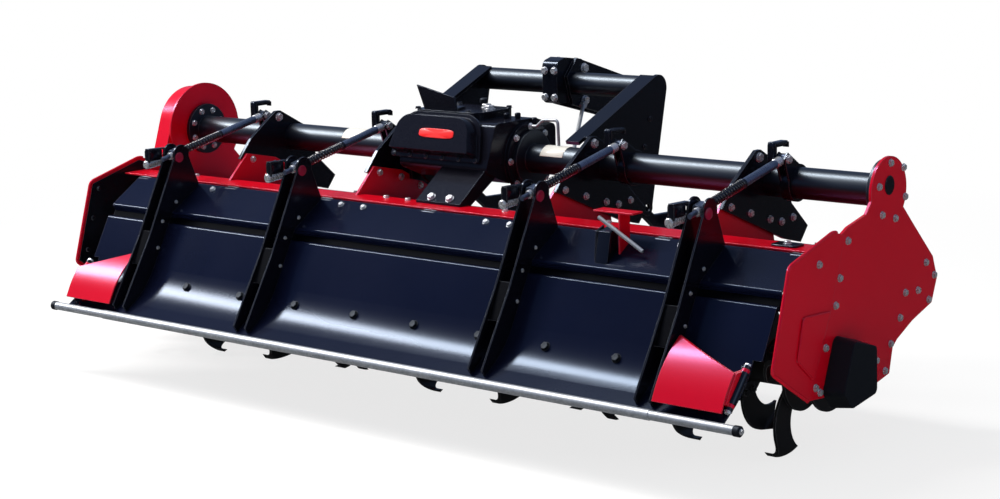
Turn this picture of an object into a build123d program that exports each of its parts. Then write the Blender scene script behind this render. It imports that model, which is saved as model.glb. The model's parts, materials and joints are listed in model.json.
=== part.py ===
"""Rotary tiller for a three-point hitch, modelled in millimetres.

+X is the machine's right, +Y the way it travels and +Z up. The origin is the centre of the top-link bore.
Side views are drawn as (forward, up) from the axis of the main pipe.
"""
import os
from math import acos, atan2, cos, degrees, hypot, radians, sin, tan

from build123d import *

# Hitch, seen from the main pipe's axis
TOP_LINK_AHEAD = 545.0
TOP_LINK_ABOVE = 128.0
TOP_LINK_R = 16.0
TOP_LINK_GAP = 62.0
LINK_PLATE_T = 12.0
LINK_END_R = 52.0
LINK_HEEL = ((292.0, 142.0), (262.0, 240.0), (318.0, 299.0), (590.0, 214.0))
CLAMP_OUTLINE = ((222.0, 150.0), (222.0, 292.0), (268.0, 304.0), (372.0, 290.0), (372.0, 150.0))
CLAMP_CORNER_R = 24.0
MAST_HEIGHT = 381.0
LOWER_LINK_AHEAD = 470.0
LOWER_LINK_SPREAD = 825.0
LOWER_LINK_R = 18.3
LOWER_LINK_PIN = 62.0
HITCH_T = 16.0
HITCH_END_R = 40.0
HITCH_BOSS_R = 32.0
HITCH_TOP = ((80.0, -150.0), (160.0, -120.0), (250.0, -168.0), (300.0, -206.0))
HITCH_UNDER = ((310.0, -256.0), (252.0, -212.0), (120.0, -184.0), (80.0, -150.0))

# Widths across the machine
PLATE_X = 1400.0
PLATE_T = 9.0
CASE_X = 1475.0
CASE_T = 72.0
ROTOR_END_GAP = 32.0

# Main pipe and gearbox
PIPE_R = 47.5
PIPE_WALL = 6.0
PIPE_FLANGE_R = 92.0
PIPE_FLANGE_T = 14.0
GEARBOX_LEFT = -312.0
GEARBOX_RIGHT = 92.0
GEARBOX_FLANGE_R = 118.0
GEARBOX_BACK = -205.0
GEARBOX_FRONT = 150.0
GEARBOX_TOP = 128.0
GEARBOX_SHOULDER = (40.0, 96.0)
GEARBOX_BOTTOM = -62.0
GEARBOX_HEEL = (-100.0, -72.0)
GEARBOX_BACK_UP = -24.0
GEARBOX_CORNER_R = 22.0
FOOT_LEFT = -113.0
FOOT_RIGHT = 72.0
FOOT_BACK = -338.0
FOOT_FRONT = -284.0
FOOT_T = 8.0
FOOT_TOP = ((-196.0, -8.0), (-150.0, -40.0))
COVER_LEFT = -334.0
COVER_RIGHT = 52.0
COVER_BOTTOM = 2.0
COVER_HEIGHT = 158.0
COVER_TILT = 20.0
COVER_DEPTH = 54.0
COVER_FLANGE = 14.0
COVER_FLANGE_T = 12.0
COVER_LEAN = 30.0
COVER_TOP_R = 78.0
COVER_FOOT_R = 12.0
COVER_DRAFT = 10.0
CAP_LEFT = -300.0
CAP_RIGHT = -20.0
CAP_BACK = -130.0
CAP_FRONT = 60.0
CAP_T = 26.0
CAP_CORNER_R = 30.0
TIP_PLATE = ((-300.0, 78.0), (-136.0, 44.0), (-126.0, 0.0), (-268.0, 0.0))
TIP_PLATE_BACK = -112.0
TIP_PLATE_T = 6.0
TIP_FOOT = ((-268.0, -112.0), (-126.0, -112.0), (-150.0, -40.0), (-240.0, -40.0))
TIP_FOOT_T = 8.0

# Input shaft
INPUT_X = -75.0
INPUT_UP = 45.0
INPUT_R = 17.4
INPUT_FREE = 82.0
INPUT_JOURNAL_R = 24.0
INPUT_HELD = 60.0
INPUT_NOSE = 70.0
INPUT_NOSE_R = 62.0
INPUT_NOSE_ROOT = 30.0
INPUT_NOSE_DRAFT = 6.0
SHAFT_PLAY = 0.4

# Rotor
ROTOR_Y = -245.0
ROTOR_Z = -505.0
TIP_R = 250.0
ROTOR_TUBE_R = 44.5
ROTOR_STUB_R = 25.0
ROTOR_STUB_GAP = 6.0
FLANGE_R = 108.0
FLANGE_T = 10.0
FLANGE_COUNT = 14
FLANGE_INSET = 92.0
FLANGE_TWIST = 37.0
TINES_PER_FLANGE = 4
TINE_T = 9.0
TINE_ROOT_R = 62.0
TINE_HEEL = 38.0
TINE_LIP = 58.0
TINE_BEND_R = 34.0
TINE_LEAN = 40.0
TINE_LEADING = (-14.0, 3.0, 38.0)
TINE_TRAILING = (40.0, 34.0, 54.0)
BEARING_R = 66.0
BEARING_DEPTH = 46.0
BEARING_SET_BACK = 8.0

# Hood, as (forward, up) from the pipe
HOOD_BACK = (-396.0, -117.0)
HOOD_LEDGE = (-300.0, -117.0)
HOOD_BROW = (165.0, -216.0)
HOOD_NOSE = (252.0, -290.0)
HOOD_LIP = (226.0, -362.0)
HOOD_LEDGE_R = 12.0
HOOD_BEND_R = 60.0
HOOD_T = 5.0

# Hinge under the hood's back edge, and the upper rear panel that hangs from it
HINGE = (-402.3, -135.2)
HINGE_PIN_R = 7.0
HINGE_KNUCKLE_R = 12.0
HINGE_PLAY = 0.5
HINGE_LUGS = 7
HINGE_LUG_W = 50.0
LUG_REACH = 50.0
LUG_T = 8.0
PANEL_T = 5.0
PANEL_BEND_R = 8.0
RECESS = 21.0
RECESS_STEP = 12.0
RECESS_BAND = 36.0
RECESS_LAP = 4.0

# Levelling board, as (forward, up) from the pipe
BOARD_HEAD = (-538.0, -207.0)
BOARD_KNEE = (-672.0, -452.0)
BOARD_FOOT = (-780.0, -522.0)
BOARD_BEND_R = 300.0
BOARD_LIP_R = 10.0
BOARD_T = 6.0
BOARD_HALF = 1384.0
BOARD_TUBE_R = 13.6
BOARD_TUBE_OVERHANG = 35.0

# Arms on the board
ARM_INNER_X = 496.0
ARM_INSET = 291.0
ARM_GAP = 46.0
ARM_T = 6.0
ARM_TOP_R = 34.0
ARM_END = 112.0
ARM_END_W = 22.0
ARM_BACK_AT = 110.0
ARM_BACK_W = 62.0
ARM_SHOULDER = (-563.0, -111.0)
ARM_TOP_SPAN = (196.0, 90.0, -16.0)
ARM_TOE = (-412.0, -121.0)
ARM_TOE_AT = 6.0
ARM_WEB_SPAN = (90.0, 210.0)
ARM_WEB_OFF = (50.0, 46.0)
ARM_WEB_T = 6.0
SWIVEL = (-485.0, -11.0)
ARM_HOOK = ((-488.0, -8.0), (-504.0, 12.0), (-583.0, 14.0), (-583.0, -34.0))
HOOK_T = 5.0
HOOK_W = 16.0

# Hold-down rods and the brackets on the pipe that carry them
ROD_PIN = (-61.0, 78.0)
ROD_PIN_R = 8.0
ROD_EYE_R = 16.0
ROD_R = 8.0
ROD_NECK = 12.0
SLEEVE_R = 13.0
SLEEVE_SHARE = 0.52
SPRING_R = 15.0
SPRING_PLAY = 0.5
SEAT_BACK = 18.0
SEAT_H = 34.0
SEAT_LENGTH = 34.0
SEAT_CORNER_R = 6.0
SEAT_PLAY = 4.0
ROD_TAIL = 62.0
EYE_W = 20.0
EYE_PLAY = 1.0
BRACKET_BAND = 9.0
EAR_T = 6.0
EAR_R = 20.0
EAR_SPAN = (175.0, 95.0, 20.0)
EAR_FOOT = ((-54.0, 6.0), (6.0, 54.0))
ROD_HOOK = ((-76.0, 66.0), (-82.0, 124.0), (-7.0, 122.0), (-7.0, 106.0))

# Folding wings
WING_INSET = 22.0
WING_WIDTH = 226.0
WING_T = 4.5
WING_TUBE_R = 11.0
WING_PIN_R = 6.0
WING_LIFT = 13.0
WING_GAP = 6.0
WING_RISE = 120.0
WING_DROP = 108.0
WING_SLANT = 50.0
WING_PEAK = 12.0
WING_TUBE_INSET = 26.0
WING_LUG_T = 9.0
WING_LUG_GAP = 1.0
WING_LUG_FOOT = 12.0
REACH = 80.0
DEEP = 1100.0

# Mast
MAST_X = 383.0
MAST_T = 12.0
MAST_TUBE = (312.0, 213.0)
MAST_TUBE_R = 38.15
MAST_RIM = 7.0
MAST_FLANGE = 52.0
MAST_FLANGE_TAIL = 30.0
MAST_LUG = (244.0, -173.0)
MAST_LUG_R = 28.0
MAST_LUG_HOLE_R = 13.0
MAST_REAR = (-78.0, 96.0)
MAST_FOOT = ((60.0, -130.0), (-70.0, -96.0))
MAST_AIM = (282.0, 201.0)

# Uprights on the pipe and the gussets they are bolted to
UPRIGHT_X = (400.0, 1010.0)
UPRIGHT_T = 12.0
UPRIGHT_EAR = (-72.0, 100.0)
UPRIGHT_EAR_W = (14.0, 10.0)
UPRIGHT_HOLE_R = 9.0
UPRIGHT_HOLE_DROP = 22.0
UPRIGHT_FRONT = ((60.0, 34.0), (111.0, -84.0), (204.0, -166.0), (164.0, -212.0), (70.0, -188.0),
                 (-31.0, -146.0))
UPRIGHT_BACK = ((-268.0, -50.0), (-210.0, 16.0))
GUSSET_T = 9.0
GUSSET_TOP = ((-240.0, -32.0), (-105.0, -61.0), (20.0, -126.0))
GUSSET_FRONT = 32.0
GUSSET_BACK = -328.0

# Side plates, drive case, rear side covers and bearing guard
PLATE_NECK_R = 101.0
PLATE_NECK_SPAN = (190.0, 80.0, -34.0)
PLATE_NECK_FRONT = (138.0, -109.0)
PLATE_NECK_BACK = (-129.0, -50.0)
PLATE_FRONT = ((268.0, -232.0), (296.0, -300.0), (265.0, -372.0), (147.0, -406.0), (58.0, -445.0),
               (32.0, -464.0), (13.0, -539.0), (-80.0, -557.0), (-444.0, -526.0))
PLATE_BACK = ((-421.0, -469.0), (-336.0, -292.0), (-267.0, -88.0), (-230.0, -71.0))
HEAD_R = 170.0
HEAD_SPAN = (204.0, 80.0, -34.0)
CASE_HEAD_R = 160.0
CASE_FOOT_R = 88.0
CASE_DRAFT = 4.0
REAR_COVER_T = 5.0
REAR_COVER = ((-254.0, -90.0), (-316.0, -70.0), (-545.0, -132.0), (-629.0, -410.0), (-563.0, -452.0),
              (-444.0, -526.0), (-410.0, -470.0), (-326.0, -292.0))
REAR_RIB = ((-336.0, -292.0), (-476.0, -284.0), (-505.0, -400.0), (-424.0, -466.0))
REAR_RIB_T = 4.0
GUARD_DEPTH = 64.0
GUARD_OUTLINE = ((-301.0, -365.0), (-165.0, -406.0), (-160.0, -556.0), (-310.0, -576.0), (-362.0, -520.0))
GUARD_CORNER_R = 26.0
GUARD_DRAFT = 8.0

# Small controls
LEVER_OFF = 5.5
LEVER_BACK = -480.0
LEVER_FRONT = -430.0
LEVER_UP = -52.0
LEVER_SHEET = 5.0
LEVER_TOP_LEFT = 90.0
LEVER_TOP_W = 140.0
LEVER_R = 6.0
LEVER_FROM = (-66.0, -14.0)
LEVER_TO = (90.0, -100.0)
STAND_OFF = 66.0
STAND_T = 6.0
STAND_FRONT = (-468.0, -92.0)
STAND_BACK = (-502.0, -104.0)
STAND_FOOT = -510.0
STAY_EYE = (340.0, 138.0)
STAY_EYE_R = 12.0
STAY_EYE_W = 14.0
STAY_R = 6.5
STAY_FOOT = (250.0, 26.0, 37.0)
LOOP_R = 5.0
LOOP_BEND_R = 12.0
LOOP_PATH = ((GEARBOX_RIGHT, 106.0), (118.0, 106.0), (146.0, 128.0), (206.0, 131.0), (210.0, 30.0))

PIPE_Y = -TOP_LINK_AHEAD
PIPE_Z = -TOP_LINK_ABOVE
TOP_LINK = (TOP_LINK_AHEAD, TOP_LINK_ABOVE)
LOWER_LINK = (LOWER_LINK_AHEAD, TOP_LINK_ABOVE - MAST_HEIGHT)
ROTOR = (ROTOR_Y, ROTOR_Z)
PIPE = (0.0, 0.0)
WING_HINGE_X = BOARD_HALF - WING_INSET
BOARD_TUBE_HALF = BOARD_HALF + BOARD_TUBE_OVERHANG
ARM_X = (ARM_INNER_X, BOARD_HALF - ARM_INSET)
LEVER_X = (ARM_X[0] + ARM_X[1]) / 2 + LEVER_OFF
STAND_X = LEVER_X - STAND_OFF
HANDS = (("left", -1), ("right", 1))


def side(x):
    """Plane across the machine at x, drawn as forward and up from the pipe's axis."""
    return Plane(origin=(x, PIPE_Y, PIPE_Z), x_dir=(0, 1, 0), z_dir=(1, 0, 0))


def along(start, end, distance, shift=0.0):
    """Point at a distance along the line from start to end, shifted to its left."""
    length = hypot(end[0] - start[0], end[1] - start[1])
    ahead = ((end[0] - start[0]) / length, (end[1] - start[1]) / length)
    return (
        start[0] + ahead[0] * distance - ahead[1] * shift,
        start[1] + ahead[1] * distance + ahead[0] * shift,
    )


def polar(centre, radius, angle):
    """Point at an angle in degrees, measured from forward towards up, about a centre."""
    return (centre[0] + radius * cos(radians(angle)), centre[1] + radius * sin(radians(angle)))


def hood_top(forward):
    """Height of the hood's top, level at the back and falling ahead of the ledge."""
    fall = (HOOD_BROW[1] - HOOD_LEDGE[1]) / (HOOD_BROW[0] - HOOD_LEDGE[0])
    return HOOD_LEDGE[1] + fall * max(forward - HOOD_LEDGE[0], 0)


# Main pipe, in two lengths between the gearbox, the drive case and the right side plate
PIPE_ENDS = {
    "main_pipe_left": (-CASE_X, GEARBOX_LEFT),
    "main_pipe_right": (GEARBOX_RIGHT, PLATE_X),
}
pipes = {}
for name, (start, end) in PIPE_ENDS.items():
    with BuildPart() as pipe:
        with BuildSketch(side(start)):
            Circle(PIPE_R)
            Circle(PIPE_R - PIPE_WALL, mode=Mode.SUBTRACT)
        extrude(amount=end - start)
        for flange_x in (start, end - PIPE_FLANGE_T):
            with BuildSketch(side(flange_x)):
                Circle(PIPE_FLANGE_R)
                Circle(PIPE_R, mode=Mode.SUBTRACT)
            extrude(amount=PIPE_FLANGE_T)
    pipes[name] = pipe.part

# Gearbox casting with a sloped back, round side flanges, a foot on the hood and the input shaft's nose
COVER_SLOPE = tan(radians(COVER_TILT))


def gearbox_back(up):
    """Forward position of the casting's sloped back at a height."""
    return GEARBOX_BACK + (up - COVER_BOTTOM) * COVER_SLOPE


nose_plane = Plane(origin=(INPUT_X, PIPE_Y + GEARBOX_FRONT, PIPE_Z + INPUT_UP), z_dir=(0, 1, 0))
with BuildPart() as gearbox_case:
    with BuildSketch(side(GEARBOX_LEFT + PIPE_FLANGE_T)):
        with BuildLine():
            FilletPolyline(
                (gearbox_back(GEARBOX_BACK_UP), GEARBOX_BACK_UP),
                (gearbox_back(GEARBOX_TOP), GEARBOX_TOP),
                (GEARBOX_SHOULDER[0], GEARBOX_TOP),
                (GEARBOX_FRONT, GEARBOX_SHOULDER[1]),
                (GEARBOX_FRONT, GEARBOX_BOTTOM),
                GEARBOX_HEEL,
                radius=GEARBOX_CORNER_R,
                close=True,
            )
        make_face()
    extrude(amount=GEARBOX_RIGHT - GEARBOX_LEFT - 2 * PIPE_FLANGE_T)
    for flange_x in (GEARBOX_LEFT, GEARBOX_RIGHT - PIPE_FLANGE_T):
        with BuildSketch(side(flange_x)):
            Circle(GEARBOX_FLANGE_R)
        extrude(amount=PIPE_FLANGE_T)
    with BuildSketch(side(FOOT_LEFT)):
        with BuildLine():
            Polyline(
                FOOT_TOP[0],
                (FOOT_BACK, HOOD_BACK[1] + FOOT_T),
                (FOOT_BACK, HOOD_BACK[1]),
                HOOD_LEDGE,
                (FOOT_FRONT, hood_top(FOOT_FRONT)),
                FOOT_TOP[1],
                close=True,
            )
        make_face()
    extrude(amount=FOOT_RIGHT - FOOT_LEFT)
    with BuildSketch(Plane(origin=(0, PIPE_Y, PIPE_Z + GEARBOX_TOP), z_dir=(0, 0, 1))):
        with Locations(((CAP_LEFT + CAP_RIGHT) / 2, (CAP_BACK + CAP_FRONT) / 2)):
            RectangleRounded(CAP_RIGHT - CAP_LEFT, CAP_FRONT - CAP_BACK, CAP_CORNER_R)
    extrude(amount=CAP_T)
    with BuildSketch(nose_plane.offset(-INPUT_NOSE_ROOT)):
        Circle(INPUT_NOSE_R)
    extrude(amount=INPUT_NOSE_ROOT + INPUT_NOSE, taper=INPUT_NOSE_DRAFT)
    with BuildSketch(nose_plane.offset(INPUT_NOSE)):
        Circle(INPUT_JOURNAL_R + SHAFT_PLAY)
    extrude(amount=-INPUT_HELD, mode=Mode.SUBTRACT)

# Domed rear cover on its bolting flange, on the casting's sloped back
cover_plane = Plane(
    origin=((COVER_LEFT + COVER_RIGHT) / 2, PIPE_Y + GEARBOX_BACK, PIPE_Z + COVER_BOTTOM),
    x_dir=(1, 0, 0),
    z_dir=(0, -cos(radians(COVER_TILT)), sin(radians(COVER_TILT))),
)
COVER_HALF = (COVER_RIGHT - COVER_LEFT) / 2
with BuildPart() as gearbox_cover:
    for rise, inset, depth, draft in (
        (0, 0, COVER_FLANGE_T, 0),
        (COVER_FLANGE_T, COVER_FLANGE, COVER_DEPTH - COVER_FLANGE_T, COVER_DRAFT),
    ):
        with BuildSketch(cover_plane.offset(rise)):
            with BuildLine():
                FilletPolyline(
                    (inset - COVER_HALF, inset),
                    (COVER_HALF - inset, inset),
                    (COVER_HALF - COVER_LEAN - inset, COVER_HEIGHT - inset),
                    (COVER_LEAN + inset - COVER_HALF, COVER_HEIGHT - inset),
                    radius=[COVER_FOOT_R, COVER_FOOT_R, COVER_TOP_R - inset, COVER_TOP_R - inset],
                    close=True,
                )
            make_face()
        extrude(amount=depth, taper=draft)

# Pointed guard plate that stands on the casting's cap
CAP_UP = PIPE_Z + GEARBOX_TOP + CAP_T
TIP_PLATE_FRONT = PIPE_Y + TIP_PLATE_BACK + TIP_PLATE_T
with BuildPart() as gearbox_guard:
    with BuildSketch(Plane(origin=(0, PIPE_Y, CAP_UP), z_dir=(0, 0, 1))):
        with BuildLine():
            Polyline(*TIP_FOOT, close=True)
        make_face()
    extrude(amount=TIP_FOOT_T)
    with BuildSketch(Plane(origin=(0, TIP_PLATE_FRONT, CAP_UP), x_dir=(1, 0, 0), z_dir=(0, -1, 0))):
        with BuildLine():
            Polyline(*TIP_PLATE, close=True)
        make_face()
    extrude(amount=TIP_PLATE_T)

# Input shaft: a journal inside the nose and the free end ahead of it
with BuildPart() as input_shaft:
    with BuildSketch(nose_plane.offset(INPUT_NOSE - INPUT_HELD + SHAFT_PLAY)):
        Circle(INPUT_JOURNAL_R)
    extrude(amount=INPUT_HELD - SHAFT_PLAY)
    with BuildSketch(nose_plane.offset(INPUT_NOSE)):
        Circle(INPUT_R)
    extrude(amount=INPUT_FREE)

# Upright support plates with an eared top, each round the pipe and bolted to a gusset on the hood
UPRIGHT_SIDES = (("outer_left", -UPRIGHT_X[1]), ("inner_left", -UPRIGHT_X[0]),
                 ("inner_right", UPRIGHT_X[0]), ("outer_right", UPRIGHT_X[1]))
uprights = {}
for name, centre_x in UPRIGHT_SIDES:
    with BuildPart() as upright:
        with BuildSketch(side(centre_x - UPRIGHT_T / 2)):
            with BuildLine():
                Polyline(
                    (UPRIGHT_EAR[0] - UPRIGHT_EAR_W[0], UPRIGHT_EAR[1]),
                    (UPRIGHT_EAR[0] + UPRIGHT_EAR_W[1], UPRIGHT_EAR[1]),
                    *UPRIGHT_FRONT,
                    *UPRIGHT_BACK,
                    close=True,
                )
            make_face()
            Circle(PIPE_R, mode=Mode.SUBTRACT)
            with Locations((UPRIGHT_EAR[0], UPRIGHT_EAR[1] - UPRIGHT_HOLE_DROP)):
                Circle(UPRIGHT_HOLE_R, mode=Mode.SUBTRACT)
        extrude(amount=UPRIGHT_T)
    uprights["upright_" + name] = upright.part

# Hood sheet over the rotor, with a level ledge along its back
with BuildPart() as hood:
    with BuildSketch(side(-CASE_X)):
        with BuildLine():
            FilletPolyline(HOOD_BACK, HOOD_LEDGE, HOOD_BROW, HOOD_NOSE, HOOD_LIP,
                           radius=[HOOD_LEDGE_R, HOOD_BEND_R, HOOD_BEND_R])
            offset(amount=HOOD_T, side=Side.RIGHT)
        make_face()
    extrude(amount=CASE_X + PLATE_X)

# Gussets that stand on the hood, on the uprights' inner faces
with BuildPart() as hood_gussets:
    for name, centre_x in UPRIGHT_SIDES:
        inner_x = centre_x + UPRIGHT_T / 2 if centre_x < 0 else centre_x - UPRIGHT_T / 2 - GUSSET_T
        with BuildSketch(side(inner_x)):
            with BuildLine():
                Polyline(*GUSSET_TOP, (GUSSET_FRONT, hood_top(GUSSET_FRONT)), HOOD_LEDGE,
                         (GUSSET_BACK, hood_top(GUSSET_BACK)), close=True)
            make_face()
        extrude(amount=GUSSET_T)

# Hinge bar: a pin held by lugs under the hood's ledge
LUG_PITCH = (2 * BOARD_HALF - HINGE_LUG_W) / (HINGE_LUGS - 1)
LUG_UP = HOOD_BACK[1] - HOOD_T
with BuildPart() as hinge_bar:
    with BuildSketch(side(-BOARD_HALF)):
        with Locations(HINGE):
            Circle(HINGE_PIN_R)
    extrude(amount=2 * BOARD_HALF)
    for index in range(HINGE_LUGS):
        with BuildSketch(side(-BOARD_HALF + index * LUG_PITCH)):
            with Locations(HINGE):
                Circle(HINGE_KNUCKLE_R)
            with BuildLine():
                Polyline(
                    HINGE,
                    (HOOD_BACK[0], LUG_UP),
                    (HOOD_BACK[0] + LUG_REACH, LUG_UP),
                    (HOOD_BACK[0] + LUG_REACH, LUG_UP - LUG_T),
                    (HOOD_BACK[0], HINGE[1] - LUG_T),
                    close=True,
                )
            make_face()
        extrude(amount=HINGE_LUG_W)

# Upper rear panel with knuckles between the lugs and a folded recess that carries the board
HANG = hypot(BOARD_HEAD[0] - HINGE[0], BOARD_HEAD[1] - HINGE[1])
HANG_ANGLE = degrees(atan2(BOARD_HEAD[1] - HINGE[1], BOARD_HEAD[0] - HINGE[0]))
PANEL_TOP = polar(HINGE, HINGE_KNUCKLE_R, HANG_ANGLE - degrees(acos(HINGE_KNUCKLE_R / HANG)))


def panel_top(forward):
    """Height of the upper rear panel's outer face at a distance forward of the pipe."""
    slope = (BOARD_HEAD[1] - PANEL_TOP[1]) / (BOARD_HEAD[0] - PANEL_TOP[0])
    return PANEL_TOP[1] + slope * (forward - PANEL_TOP[0])


with BuildPart() as rear_panel:
    with BuildSketch(side(-BOARD_HALF)):
        with BuildLine():
            FilletPolyline(
                PANEL_TOP,
                BOARD_HEAD,
                along(BOARD_HEAD, BOARD_KNEE, RECESS_STEP, RECESS),
                along(BOARD_HEAD, BOARD_KNEE, RECESS_BAND + BOARD_T + RECESS_LAP, RECESS),
                radius=PANEL_BEND_R,
            )
            offset(amount=PANEL_T, side=Side.LEFT)
        make_face()
    extrude(amount=2 * BOARD_HALF)
    for index in range(HINGE_LUGS - 1):
        with BuildSketch(side(-BOARD_HALF + index * LUG_PITCH + HINGE_LUG_W + HINGE_PLAY)):
            with Locations(HINGE):
                Circle(HINGE_KNUCKLE_R)
        extrude(amount=LUG_PITCH - HINGE_LUG_W - 2 * HINGE_PLAY)
    for index in range(HINGE_LUGS):
        with BuildSketch(side(-BOARD_HALF + index * LUG_PITCH - HINGE_PLAY)):
            with Locations(HINGE):
                Circle(HINGE_KNUCKLE_R + HINGE_PLAY)
        extrude(amount=HINGE_LUG_W + 2 * HINGE_PLAY, mode=Mode.SUBTRACT)
    with BuildSketch(side(-BOARD_HALF)):
        with Locations(HINGE):
            Circle(HINGE_PIN_R + HINGE_PLAY)
    extrude(amount=2 * BOARD_HALF, mode=Mode.SUBTRACT)

# Levelling board, with a lip on the panel's recess and cut back at the lower corners for the wings
WING_TOP = along(BOARD_KNEE, BOARD_HEAD, WING_RISE)
WING_FOOT = along(BOARD_KNEE, BOARD_FOOT, WING_DROP)
BOARD_EDGE = along(BOARD_HEAD, BOARD_KNEE, RECESS_BAND)
BOARD_LIP = along(BOARD_HEAD, BOARD_KNEE, RECESS_BAND, RECESS)
WING_CLEAR = WING_TOP[1] - WING_SLANT + 3 * WING_GAP
with BuildPart() as board:
    with BuildSketch(side(-BOARD_HALF)):
        with BuildLine():
            FilletPolyline(BOARD_LIP, BOARD_EDGE, BOARD_KNEE, BOARD_FOOT, radius=[BOARD_LIP_R, BOARD_BEND_R])
            offset(amount=BOARD_T, side=Side.LEFT)
        make_face()
    extrude(amount=2 * BOARD_HALF)
    for name, hand in HANDS:
        with BuildSketch(side(hand * (WING_HINGE_X - WING_GAP))):
            with BuildLine():
                Polyline(
                    (BOARD_HEAD[0], WING_CLEAR),
                    (BOARD_FOOT[0] - REACH, WING_CLEAR),
                    (BOARD_FOOT[0] - REACH, BOARD_FOOT[1] - REACH),
                    (BOARD_HEAD[0], BOARD_FOOT[1] - REACH),
                    close=True,
                )
            make_face()
        extrude(amount=hand * REACH, mode=Mode.SUBTRACT)

FOOT_LENGTH = hypot(BOARD_FOOT[0] - BOARD_KNEE[0], BOARD_FOOT[1] - BOARD_KNEE[1])
with BuildPart() as board_tube:
    with BuildSketch(side(-BOARD_TUBE_HALF)):
        with Locations(along(BOARD_KNEE, BOARD_FOOT, FOOT_LENGTH + BOARD_TUBE_R)):
            Circle(BOARD_TUBE_R)
    extrude(amount=2 * BOARD_TUBE_HALF)

# Arms on the board and panel: two cheeks each, open for the rod at the swivel, with a latch hook at the top
ARM_SIDES = (("outer_left", -ARM_X[1]), ("inner_left", -ARM_X[0]),
             ("inner_right", ARM_X[0]), ("outer_right", ARM_X[1]))
ARM_TIP = along(BOARD_KNEE, BOARD_FOOT, ARM_END)
ARM_HEEL = along(PANEL_TOP, BOARD_HEAD, ARM_TOE_AT)
ARM_TOP_BACK, ARM_TOP_UP, ARM_TOP_FRONT = (polar(SWIVEL, ARM_TOP_R, angle) for angle in ARM_TOP_SPAN)
arms = {}
for name, centre_x in ARM_SIDES:
    with BuildPart() as arm:
        for cheek_x in (centre_x - ARM_GAP / 2 - ARM_T, centre_x + ARM_GAP / 2):
            with BuildSketch(side(cheek_x)):
                with BuildLine():
                    FilletPolyline(BOARD_EDGE, BOARD_KNEE, ARM_TIP, radius=BOARD_BEND_R)
                    Polyline(
                        ARM_TIP,
                        along(BOARD_KNEE, BOARD_FOOT, ARM_END, -ARM_END_W),
                        along(BOARD_HEAD, BOARD_KNEE, ARM_BACK_AT, -ARM_BACK_W),
                        ARM_SHOULDER,
                        ARM_TOP_BACK,
                    )
                    ThreePointArc(ARM_TOP_BACK, ARM_TOP_UP, ARM_TOP_FRONT)
                    Polyline(ARM_TOP_FRONT, ARM_TOE, ARM_HEEL, BOARD_HEAD, BOARD_EDGE)
                make_face()
            extrude(amount=ARM_T)
        with BuildSketch(side(centre_x - ARM_GAP / 2)):
            with BuildLine():
                Polyline(
                    along(BOARD_HEAD, BOARD_KNEE, ARM_WEB_SPAN[0], -ARM_WEB_OFF[0]),
                    along(BOARD_HEAD, BOARD_KNEE, ARM_WEB_SPAN[0], -ARM_WEB_OFF[0] - ARM_WEB_T),
                    along(BOARD_HEAD, BOARD_KNEE, ARM_WEB_SPAN[1], -ARM_WEB_OFF[1] - ARM_WEB_T),
                    along(BOARD_HEAD, BOARD_KNEE, ARM_WEB_SPAN[1], -ARM_WEB_OFF[1]),
                    close=True,
                )
            make_face()
        extrude(amount=ARM_GAP)
        with BuildSketch(side(centre_x - ARM_GAP / 2 - ARM_T - HOOK_W)):
            with BuildLine():
                Polyline(*ARM_HOOK)
                offset(amount=HOOK_T, side=Side.LEFT)
            make_face()
        extrude(amount=HOOK_W + ARM_T / 2)
    arms["arm_" + name] = arm.part

# Hold-down rods: eye on the pipe bracket's pin, sleeve, spring seat and tail beyond the swivel
ROD_LENGTH = hypot(SWIVEL[0] - ROD_PIN[0], SWIVEL[1] - ROD_PIN[1])
ROD_START = ROD_PIN_R + ROD_R / 2
SLEEVE_START = ROD_EYE_R + ROD_NECK
SLEEVE_END = SLEEVE_SHARE * ROD_LENGTH
SPRING_END = ROD_LENGTH - SEAT_BACK


def rod_plane(centre_x, distance):
    """Plane across a rod at a distance from its pin."""
    return Plane(
        origin=(centre_x, PIPE_Y + ROD_PIN[0], PIPE_Z + ROD_PIN[1]),
        x_dir=(1, 0, 0),
        z_dir=(0, SWIVEL[0] - ROD_PIN[0], SWIVEL[1] - ROD_PIN[1]),
    ).offset(distance)


with BuildPart() as rod_springs:
    for name, centre_x in ARM_SIDES:
        with BuildSketch(rod_plane(centre_x, SLEEVE_END)):
            Circle(SPRING_R)
            Circle(ROD_R + SPRING_PLAY, mode=Mode.SUBTRACT)
        extrude(amount=SPRING_END - SLEEVE_END)

rods = {}
for name, centre_x in ARM_SIDES:
    with BuildPart() as rod:
        with BuildSketch(rod_plane(centre_x, ROD_START)):
            Circle(ROD_R)
        extrude(amount=ROD_LENGTH + ROD_TAIL - ROD_START)
        with BuildSketch(rod_plane(centre_x, SLEEVE_START)):
            Circle(SLEEVE_R)
        extrude(amount=SLEEVE_END - SLEEVE_START)
        with BuildSketch(rod_plane(centre_x, SPRING_END)):
            RectangleRounded(ARM_GAP - 2 * SEAT_PLAY, SEAT_H, SEAT_CORNER_R)
        extrude(amount=SEAT_LENGTH)
        with BuildSketch(side(centre_x - EYE_W / 2)):
            with Locations(ROD_PIN):
                Circle(ROD_EYE_R)
        extrude(amount=EYE_W)
        with BuildSketch(side(centre_x - EYE_W / 2)):
            with Locations(ROD_PIN):
                Circle(ROD_PIN_R + SHAFT_PLAY)
        extrude(amount=EYE_W, mode=Mode.SUBTRACT)
    rods["rod_" + name] = rod.part

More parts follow.
